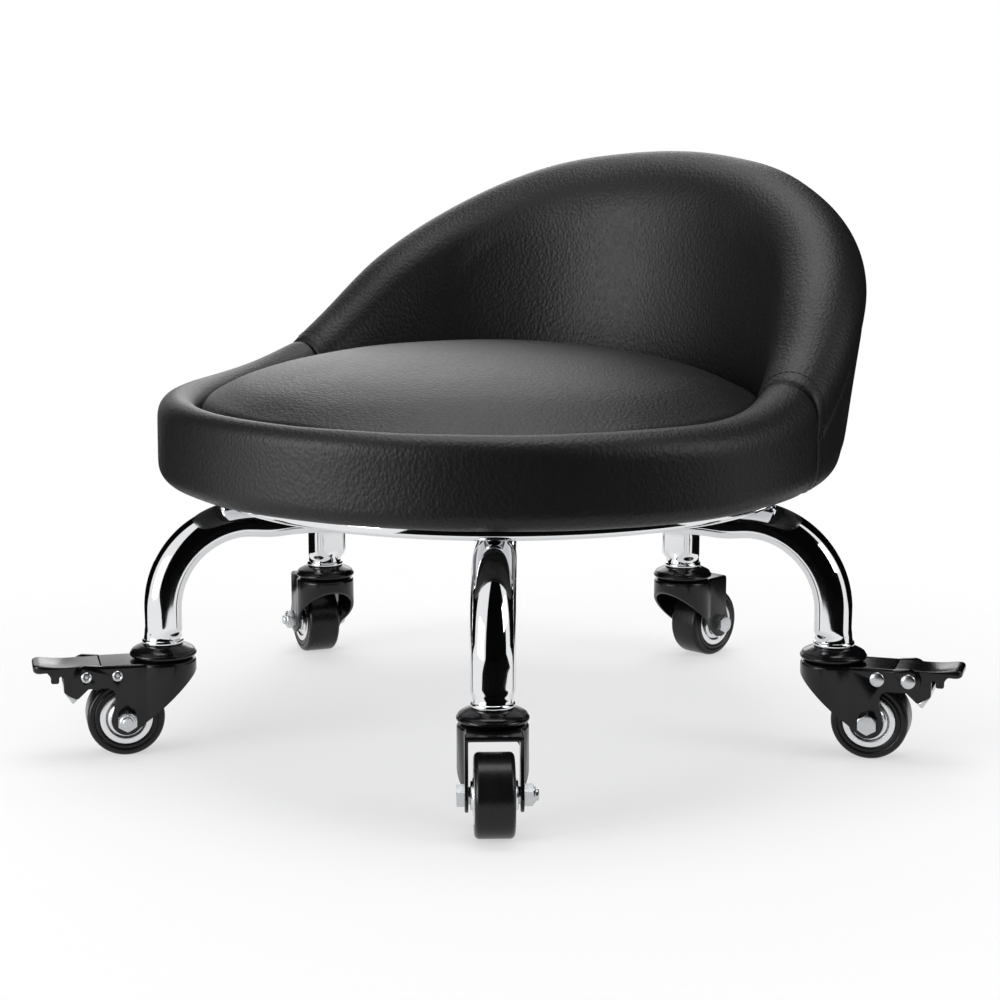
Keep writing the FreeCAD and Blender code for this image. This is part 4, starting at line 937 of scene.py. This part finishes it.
class STOOL_OT_tub(bpy.types.Operator):
    """Padded front rim and wrap-around back, with the seams between them and along the back"""

    bl_idname = "stool.tub"
    bl_label = "Rim and back"

    def execute(self, context):
        look = context.scene.stool_upholstery
        form = TubForm()
        seam = look.seam_angle
        covers = {}
        for name, node_name, first, last, counts in (
                ("leather_back", "backrest", -seam, seam, BACK_COUNTS),
                ("leather_rim", "seat_rim", seam, 2 * math.pi - seam, RIM_COUNTS)):
            piece, held = padded_wall(name, form, first, last, counts)
            filled_with_foam(piece, held, look.pressure, look.swell)
            subdivided(piece)
            worked_leather(piece)
            covers[node_name] = piece
        # Lines sewn on the back, with the depth and width to which they draw the leather in.
        rows, beside, fine = [], 6.5 * MM, 1.2 * MM
        for side in (-1, 1):
            rows.append((self.panel_line(form, side), 1.1 * MM, 1.6 * MM))
            rows.append((self.over_line(form, side * (seam - beside / form.outer)), 0.4 * MM, 1.2 * MM))
        for line, depth, width in rows:
            seam_valley(covers["backrest"], even_line(line, fine), depth, width)
        for node_name, piece in covers.items():
            finer = piece.modifiers.new("Smooth cover", "SUBSURF")
            finer.levels = 1
            finer.render_levels = 1
            dressed(piece, "seat", "pu_leather", finish("pu_leather"), node_name)
        for number, (line, _, _) in enumerate(rows):
            stitch_row("seam_stitches_%d" % (number + 1), line, covers["backrest"], look.stitch_pitch, "seat")
        return {"FINISHED"}

    def over_line(self, form, theta):
        """A line over the padded wall at one angle, from the inner foot to the underside."""
        section = form.section(theta, LINE_COUNTS)
        return [form.spot(theta, r, z) for r, z, hidden in section if not hidden]

    def panel_line(self, form, side):
        """The outer panel's seam: from the upright seam along the outside of the back, under its edge."""
        line, steps = [], 60
        # The seam starts just short of the upright one and dips towards the middle of the back.
        start, drop, dip = 0.985 * form.look.seam_angle, 44 * MM, 16 * MM
        for i in range(steps + 1):
            share = 1 - i / steps
            theta = side * start * share
            line.append(form.outside(theta, form.top(theta) - drop + dip * smooth_step(share)))
        return line


class STOOL_OT_lining(bpy.types.Operator):
    """Black lining stapled under the seat board, with slight slack between the staples"""

    bl_idname = "stool.lining"
    bl_label = "Lining"

    def execute(self, context):
        low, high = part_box("dust_cloth")
        outer = (high.x - low.x) / 2
        gap, most_slack, staples = 0.4 * MM, 0.5 * MM, 24
        inner = width_of("swivel_upper_plate") / 2 + gap
        level = (low.z + high.z) / 2
        steps, rings = 180, 16
        points = []
        for i in range(rings):
            t = i / (rings - 1)
            for j, spot in enumerate(round_points(inner + (outer - inner) * t, steps, level)):
                wave = 0.5 + 0.5 * math.sin(staples * 2 * math.pi * j / steps)
                points.append(spot - UP * most_slack * math.sin(math.pi * t) * wave)
        piece = mesh_piece("lining_cloth", points, skin_faces(steps, rings))
        dressed(piece, "seat", "lining_cloth", finish("lining_cloth"), "dust_cloth")
        return {"FINISHED"}


class STOOL_OT_legs(bpy.types.Operator):
    """Five bent chrome legs: D-shaped tube, round at the foot, pressed flat under the pan"""

    bl_idname = "stool.legs"
    bl_label = "Legs"

    def execute(self, context):
        metal = context.scene.stool_metal
        for name in CASTERS:
            self.leg(name, metal)
        return {"FINISHED"}

    def outline(self, width, depth, corner, count):
        """Even points round the D section: x across, y from the flat face to the crest."""
        half, flat, crest = width / 2, -depth / 2, depth / 2
        run = arc((0, crest - half), half, math.pi / 2, 0, 24)
        run += arc((half - corner, flat + corner), corner, 0, -math.pi / 2, 12)
        right = [Vector((x, y, 0)) for x, y in run + [(0, flat)]]
        whole = sum((b - a).length for a, b in zip(right, right[1:]))
        side = even_line(right, whole / (count // 2))[:count // 2] + [right[-1]]
        return side + [Vector((-p.x, p.y, 0)) for p in reversed(side[1:-1])]

    def stations(self, metal, reach, foot):
        """Places along the leg: distance from the axis, height, turn out of upright, share of the D section."""
        straight, bent, level = 14, 44, 28
        # The round foot becomes a D between 1 and 6 mm over its end.
        round_end, change = 1 * MM, 5 * MM
        bend, knee = metal.leg_bend, metal.leg_knee
        places = []
        for i in range(straight):
            z = foot + (knee - foot) * i / straight
            places.append((reach, z, 0.0, smooth_step((z - foot - round_end) / change)))
        for i in range(bent):
            a = math.pi / 2 * i / bent
            places.append((reach - bend * (1 - math.cos(a)), knee + bend * math.sin(a), a, 1.0))
        for i in range(level):
            r = reach - bend - (reach - bend - metal.leg_inner) * i / (level - 1)
            places.append((r, knee + bend, math.pi / 2, 1.0))
        return places

    def leg(self, name, metal):
        count, foot_radius = 56, 9.5 * MM
        # The foot's neck: share, height over the end and spread. The swelling of the underside: depth, distance
        # from the axis and spread, on the part that turns more than the last angle out of upright.
        neck, neck_height, neck_spread = 0.05, 3 * MM, 2.5 * MM
        swelling, swell_place, swell_spread = 1.0 * MM, 120 * MM, 9 * MM
        level_turn = 1.2
        stem = Vector(JOINTS["swivel_" + name]["pos_m"])
        reach = math.hypot(stem.x, stem.y)
        out = Vector((stem.x / reach, stem.y / reach, 0))
        side = Vector((-out.y, out.x, 0))
        shape = self.outline(width_of("leg_rear"), metal.leg_depth, metal.leg_corner, count)
        circle = [Vector((p.y, p.x, 0)) for p in round_points(foot_radius, count)]
        foot, ceiling = foot_of("leg_" + name), top_of("leg_" + name)
        points = []
        stations = self.stations(metal, reach, foot)
        for r, z, a, morph in stations:
            normal = out * math.cos(a) + UP * math.sin(a)
            # The tube's foot necks in a little just over the collar.
            slim = 1 - neck * math.exp(-((z - foot - neck_height) / neck_spread) ** 2) * (1 - morph)
            # The underside swells slightly where the top is pressed flat.
            bump = swelling * math.exp(-((r - swell_place) / swell_spread) ** 2) if a > level_turn else 0.0
            for c, p in zip(circle, shape):
                q = c * slim * (1 - morph) + p * morph
                spot = out * r + UP * z + side * q.x + normal * q.y
                if q.y < 0:
                    spot.z -= bump
                spot.z = min(spot.z, ceiling)
                points.append(spot)
        piece = mesh_piece("chrome_leg_" + name, points, tube_faces(count, len(stations)), math.radians(50))
        faced_out(piece)
        dressed(piece, "base", "chrome", finish("chrome"), "leg_" + name)


class STOOL_OT_base(bpy.types.Operator):
    """Chrome pan with its upturned wall, and the swivel's own plates, pin and bolts"""

    bl_idname = "stool.base"
    bl_label = "Base pan and swivel"

    def execute(self, context):
        low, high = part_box("base_pan")
        radius, sheet, bend, pin = (high.x - low.x) / 2, 1.5 * MM, 3 * MM, 5 * MM
        lip, turn = sheet / 2, (radius - bend, low.z + bend)
        profile = [(pin, low.z), (radius * 0.5, low.z), (radius - bend, low.z)]
        profile += arc(turn, bend, -math.pi / 2, 0, 6)[1:]
        profile += arc((radius - lip, high.z - lip), lip, 0, math.pi, 6)
        profile += arc(turn, bend - sheet, 0, -math.pi / 2, 4)
        profile += [(radius * 0.5, low.z + sheet), (pin, low.z + sheet)]
        pan = turned_piece("chrome_pan", profile, Matrix.Identity(4), 160)
        dressed(pan, "base", "chrome", finish("chrome"), "base_pan")
        for name in ("swivel_lower_plate", "swivel_upper_plate", "swivel_pin", "pan_bolts", "seat_screws"):
            finished_node(name, finish("zinc_steel"))
        finished_node("swivel_balls", finish("bearing_steel"))
        finished_node("seat_board", finish("plywood"))
        finished_node("back_board", finish("plywood"))
        return {"FINISHED"}


class STOOL_OT_stems(bpy.types.Operator):
    """Caster stems with their bright collars, and the black dust caps below them"""

    bl_idname = "stool.stems"
    bl_label = "Stems and dust caps"

    def execute(self, context):
        metal = context.scene.stool_metal
        for name in CASTERS:
            stem = Vector(JOINTS["swivel_" + name]["pos_m"])
            place = Matrix.Translation(Vector((stem.x, stem.y, 0)))
            self.collar(name, place, metal)
            self.cap(name, place, metal)
        return {"FINISHED"}

    def collar(self, name, place, metal):
        low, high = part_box("caster_stem_" + name)
        seat = top_of("race_cap_" + name)
        top = foot_of("leg_" + name)
        radius = (high.x - low.x) / 2
        bead = (top - seat) / 2
        neck, shank, bulge = 5 * MM, 5.5 * MM, bead * 0.6
        # Riveted head inside the fork in mm: radius, and height over the stem's end.
        head = ((0, 0), (6.2, 0), (7, 0.8), (7, 2.2), (5, 2.2))
        profile = [(r * MM, low.z + z * MM) for r, z in head] + [(neck, seat)]
        for i in range(13):
            a = -math.pi / 2 + math.pi * i / 12
            profile.append((radius - bulge + bulge * math.cos(a), seat + bead + bead * math.sin(a)))
        profile += [(shank, top), (shank, high.z), (0.0, high.z)]
        piece = turned_piece("stem_collar_" + name, profile, place, metal.steps)
        dressed(piece, "base", "chrome", finish("chrome"), "caster_stem_" + name)

    def cap(self, name, place, metal):
        low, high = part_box("race_cap_" + name)
        radius = (high.x - low.x) / 2
        height = high.z - low.z
        # Outline shares of the cap's radius and height: dome, groove, rolled lip and foot.
        shares = ((0.301, 1.0), (0.59, 1.0), (0.63, 0.985), (0.68, 0.93), (0.78, 0.84), (0.87, 0.74), (0.925, 0.66),
                  (0.945, 0.61), (0.93, 0.565), (0.94, 0.53), (0.975, 0.48), (0.995, 0.41), (1.0, 0.33),
                  (0.985, 0.25), (0.945, 0.2), (0.9, 0.17), (0.885, 0.12), (0.87, 0.04), (0.84, 0.0), (0.301, 0.0))
        profile = [(radius * a, low.z + height * b) for a, b in shares]
        piece = turned_piece("dust_cap_" + name, profile, place, metal.steps, math.radians(60))
        dressed(piece, "base", "black_steel", finish("black_steel"), "race_cap_" + name)


class STOOL_OT_forks(bpy.types.Operator):
    """Black pressed forks with rounded edges"""

    bl_idname = "stool.forks"
    bl_label = "Forks"

    def execute(self, context):
        metal = context.scene.stool_metal
        for name in CASTERS:
            piece = softened_copy("fork_" + name, "pressed_fork_" + name, metal.edge_break)
            dressed(piece, "caster_" + name, "black_steel", finish("black_steel"), "fork_" + name)
        return {"FINISHED"}


class STOOL_OT_wheels(bpy.types.Operator):
    """Bright wheel centres with pressed rings, and their black tyres"""

    bl_idname = "stool.wheels"
    bl_label = "Wheels"

    def execute(self, context):
        metal = context.scene.stool_metal
        for name in CASTERS:
            place = axle_place("spin_" + name)
            self.centre(name, place, metal)
            self.tyre(name, place, metal)
        return {"FINISHED"}

    def centre(self, name, place, metal):
        # Half outline of the wheel centre in mm: bore, hub face, cone, pressed ring, rim edge.
        half = ((4.03, 10.5), (6.3, 10.5), (6.6, 10.35), (6.8, 9.7), (7.6, 9.6), (7.9, 9.2), (8.5, 8.6), (9.1, 8.5),
                (9.5, 8.7), (9.8, 9.05), (10.3, 9.2), (12.5, 9.2), (12.85, 9.05), (13.0, 8.7))
        profile = [(r * MM, z * MM) for r, z in half] + [(r * MM, -z * MM) for r, z in reversed(half)]
        piece = turned_piece("wheel_centre_" + name, profile, place, metal.steps)
        dressed(piece, "wheel_" + name, "wheel_chrome", finish("wheel_chrome"), "wheel_rim_" + name)

    def tyre(self, name, place, metal):
        low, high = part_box("wheel_tread_" + name)
        radius = (high.z - low.z) / 2
        inner, half, bend = 13 * MM, 9 * MM, 2.25 * MM
        side = [(inner, half - 0.5 * MM), (inner + 0.5 * MM, half), (inner + 2.2 * MM, half),
                (inner + 2.5 * MM, half - 0.4 * MM), (inner + 2.9 * MM, half)]
        side += arc((radius - bend, half - bend), bend, math.pi / 2, 0, 7)
        profile = side + [(r, -z) for r, z in reversed(side)]
        piece = turned_piece("tyre_" + name, profile, place, metal.steps, math.radians(60))
        dressed(piece, "wheel_" + name, "tyre", finish("tyre"), "wheel_tread_" + name)


class STOOL_OT_axles(bpy.types.Operator):
    """Axle bolts: chamfered hex head one side, lock nut with its collar and the bolt end on the other"""

    bl_idname = "stool.axles"
    bl_label = "Axle bolts"

    def execute(self, context):
        # Places in mm along the axle from its middle: the fork's outer face, then round bars with their radius,
        # start, end and side, which are the nut's collar, the bolt's end, and its shank both ways.
        face, head, nut = 13.1, 3.6, 4.2
        bars = ((3.8, 17.0, 18.1, 1), (2.6, 17.9, 19.6, 1), (3.0, 0.0, 13.4, 1), (3.0, 0.0, 13.4, -1))
        for name in CASTERS:
            place = axle_place("spin_" + name)
            points, faces = [], []
            for height, side in ((head, -1), (nut, 1)):
                self.hexed(points, faces, place, face * MM, height * MM, side)
            for radius, start, end, side in bars:
                self.rod(points, faces, place, radius * MM, start * MM, end * MM, side)
            piece = mesh_piece("axle_fastener_" + name, points, faces, math.radians(30))
            faced_out(piece)
            dressed(piece, "caster_" + name, "zinc_steel", finish("zinc_steel"), "axle_bolt_" + name)
            finished_node("axle_sleeve_" + name, finish("zinc_steel"))
        return {"FINISHED"}

    def ringed(self, points, faces, place, rings, side):
        """Adds a closed piece made of rings, towards one side of the axle."""
        faces += tube_faces(len(rings[0]), len(rings), len(points))
        for ring in rings:
            points += [place @ Vector((x, y, z * side)) for x, y, z in ring]

    def hexed(self, points, faces, place, base, height, side):
        """A hexagon with its corners turned off at the outer face."""
        flat, slope, steps = 4.5 * MM, 0.58, 48
        end = flat * 0.96
        columns = []
        for i in range(steps):
            a = 2 * math.pi * i / steps
            corner = flat / math.cos((a + math.pi / 6) % (math.pi / 3) - math.pi / 6)
            edge = height - slope * (corner - flat)
            levels = ((corner, 0.0), (corner, height / 2), (corner, edge), (end, height))
            columns.append([(r * math.cos(a), r * math.sin(a), base + z) for r, z in levels])
        self.ringed(points, faces, place, list(zip(*columns)), side)

    def rod(self, points, faces, place, radius, start, end, side):
        """A round bar with a small chamfer at its end."""
        steps, cut = 32, 0.4 * MM
        levels = ((radius, start), (radius, end - cut), (radius - cut, end))
        self.ringed(points, faces, place, [round_points(r, steps, z) for r, z in levels], side)


class STOOL_OT_brakes(bpy.types.Operator):
    """Foot brakes: pressed pedals, bare shoes and domed rivets"""

    bl_idname = "stool.brakes"
    bl_label = "Foot brakes"

    def execute(self, context):
        metal = context.scene.stool_metal
        for name in BRAKED:
            self.pedal(name)
            shoe = softened_copy("brake_shoe_" + name, "bare_shoe_" + name, metal.edge_break)
            dressed(shoe, "pedal_" + name, "zinc_steel", finish("zinc_steel"), "brake_shoe_" + name)
            self.rivets(name)
        return {"FINISHED"}

    def pedal(self, name):
        """A dished tread that thickens to a rounded tip, over two cheeks with the catch and the brake arm."""
        spot, across, along = joint_frame("brake_" + name)
        place = placed(spot, along, across, UP)
        half, sheet = 11 * MM, 1.5 * MM
        build = bmesh.new()
        for side in (-1, 1):
            self.cheek(build, side * (half - sheet / 2), sheet)
        bmesh.ops.recalc_face_normals(build, faces=build.faces)
        shell = bpy.data.meshes.new("cheeks")
        build.to_mesh(shell)
        build.free()
        points = [place @ v.co for v in shell.vertices]
        faces = [tuple(f.vertices) for f in shell.polygons]
        bpy.data.meshes.remove(shell)
        # Stations of the tread in mm: behind the pivot, half width, top, thickness, dish.
        stations = ((-6.9, 10.6, 5.1, 1.2, 0), (-6.6, 10.9, 5.4, 1.5, 0), (-2, 11, 5.4, 1.5, 0),
                    (2, 11, 5.4, 1.5, 0.1), (4.5, 11, 5.3, 1.5, 0.4), (7, 11, 5.25, 1.6, 0.8),
                    (10, 11, 5.3, 1.9, 1.0), (13, 11, 5.5, 2.5, 1.0), (16, 11, 5.8, 3.3, 0.9),
                    (19, 11, 6.2, 4.0, 0.7), (21.5, 10.8, 6.5, 4.5, 0.5), (23.2, 10.3, 6.6, 4.6, 0.3),
                    (24.3, 9.5, 6.45, 4.2, 0.2), (25, 8.5, 6.0, 3.3, 0.1), (25.3, 7.4, 5.4, 2.1, 0))
        count, edge, crown, level = 48, 0.18, 0.5, 1e-9
        faces += tube_faces(count, len(stations), len(points))
        for u, w, top, thick, dish in stations:
            mid, rise = top - thick / 2, thick / 2
            for i in range(count):
                a = 2 * math.pi * i / count
                c, s = math.cos(a), math.sin(a)
                # A flattened round: flat top and foot with rounded edges.
                v = w * math.copysign(abs(c) ** edge, c) if abs(c) > level else 0.0
                z = mid + rise * (math.copysign(abs(s) ** crown, s) if abs(s) > level else 0.0)
                if s > 0:
                    z -= dish * (1 - (v / w) ** 2)
                points.append(place @ Vector((u * MM, v * MM, z * MM)))
        piece = mesh_piece("pressed_pedal_" + name, points, faces, math.radians(40))
        faced_out(piece)
        dressed(piece, "pedal_" + name, "black_steel", finish("black_steel"), "brake_pedal_" + name)

    def cheek(self, build, middle, sheet):
        """One side of the pedal, with its corners rounded: front, arm, notch and catch, up to the tread."""
        outline = ((-6, 4.2), (-6, -2.5), (-1, -6.4), (4.4, -11.4), (10.9, -7.5), (10.9, 0.6), (13, 0.6),
                   (13, -2.8), (17, -2.8), (17, 0.6), (20, 4.2))
        rows = [[build.verts.new((u * MM, middle + way * sheet / 2, z * MM)) for u, z in outline]
                for way in (-1, 1)]
        caps = [build.faces.new(rows[0]), build.faces.new(list(reversed(rows[1])))]
        count = len(outline)
        ends = []
        for i in range(count):
            j = (i + 1) % count
            build.faces.new((rows[0][j], rows[0][i], rows[1][i], rows[1][j]))
            ends.append(build.edges.get((rows[0][i], rows[1][i])))
        # The profile's own corners are rounded first, then the edges of its two faces are broken.
        pressed = {"offset_type": "OFFSET", "profile": 0.5, "affect": "EDGES", "clamp_overlap": True}
        bmesh.ops.bevel(build, geom=ends[1:-1], offset=1.0 * MM, segments=4, **pressed)
        rim = {e for f in caps if f.is_valid for e in f.edges}
        bmesh.ops.bevel(build, geom=list(rim), offset=0.3 * MM, segments=2, **pressed)

    def rivets(self, name):
        """The pivot rivet and the spacer rivet ahead of it: domed heads one side, rolled hollow ends opposite."""
        pivot, across, along = joint_frame("brake_" + name)
        low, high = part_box("brake_rivet_" + name)
        half, shank, head, foot, rise = 13.1 * MM, 2 * MM, 3.65 * MM, 0.4 * MM, 1.2 * MM
        # Rolled end in mm: hollow, lip and foot.
        rolled = ((0, -0.1), (0.8, -0.1), (1.1, 0.2), (1.3, 0.85), (1.7, 1.15), (2.2, 1.05), (2.65, 0.6), (2.8, 0))
        outline = [(r * MM, half + z * MM) for r, z in rolled]
        outline += [(shank, half), (shank, -half), (head, -half)]
        for i in range(9):
            a = math.pi / 2 * (1 - i / 8)
            outline.append((head * math.sin(a), -half - foot - rise * math.cos(a)))
        spacer = low + high - pivot
        for title, spot in (("pivot", pivot), ("spacer", Vector((spacer.x, spacer.y, pivot.z)))):
            place = placed(spot, along, across.cross(along), across)
            rivet = turned_piece(title + "_rivet_" + name, outline, place, 48)
            dressed(rivet, "caster_" + name, "zinc_steel", finish("zinc_steel"), "brake_rivet_" + name)


GROUPS = {"stool_upholstery": UpholsterySizes, "stool_metal": MetalSizes, "stool_studio": StudioSizes}
BUILD = (STOOL_OT_stage, STOOL_OT_cushion, STOOL_OT_tub, STOOL_OT_lining, STOOL_OT_legs, STOOL_OT_base,
         STOOL_OT_stems, STOOL_OT_forks, STOOL_OT_wheels, STOOL_OT_axles, STOOL_OT_brakes)


class STOOL_PT_panel(bpy.types.Panel):
    """Lists the stool's pieces and their sizes"""

    bl_idname = "STOOL_PT_panel"
    bl_label = "Rolling stool"
    bl_space_type = "VIEW_3D"
    bl_region_type = "UI"
    bl_category = "Stool"

    def draw(self, context):
        for operator in BUILD:
            self.layout.operator(operator.bl_idname)
        for group_name in GROUPS:
            group = getattr(context.scene, group_name)
            column = self.layout.column(align=True)
            for name in group.__annotations__:
                column.prop(group, name)


CLASSES = tuple(GROUPS.values()) + BUILD + (STOOL_PT_panel,)


def register():
    for item in CLASSES:
        bpy.utils.register_class(item)
    for name, kind in GROUPS.items():
        setattr(bpy.types.Scene, name, PointerProperty(type=kind))


def unregister():
    for name in GROUPS:
        delattr(bpy.types.Scene, name)
    for item in reversed(CLASSES):
        bpy.utils.unregister_class(item)


def main():
    register()
    for operator in BUILD:
        group, name = operator.bl_idname.split(".")
        getattr(getattr(bpy.ops, group), name)()
    bpy.context.view_layer.update()


if __name__ == "__main__":
    main()
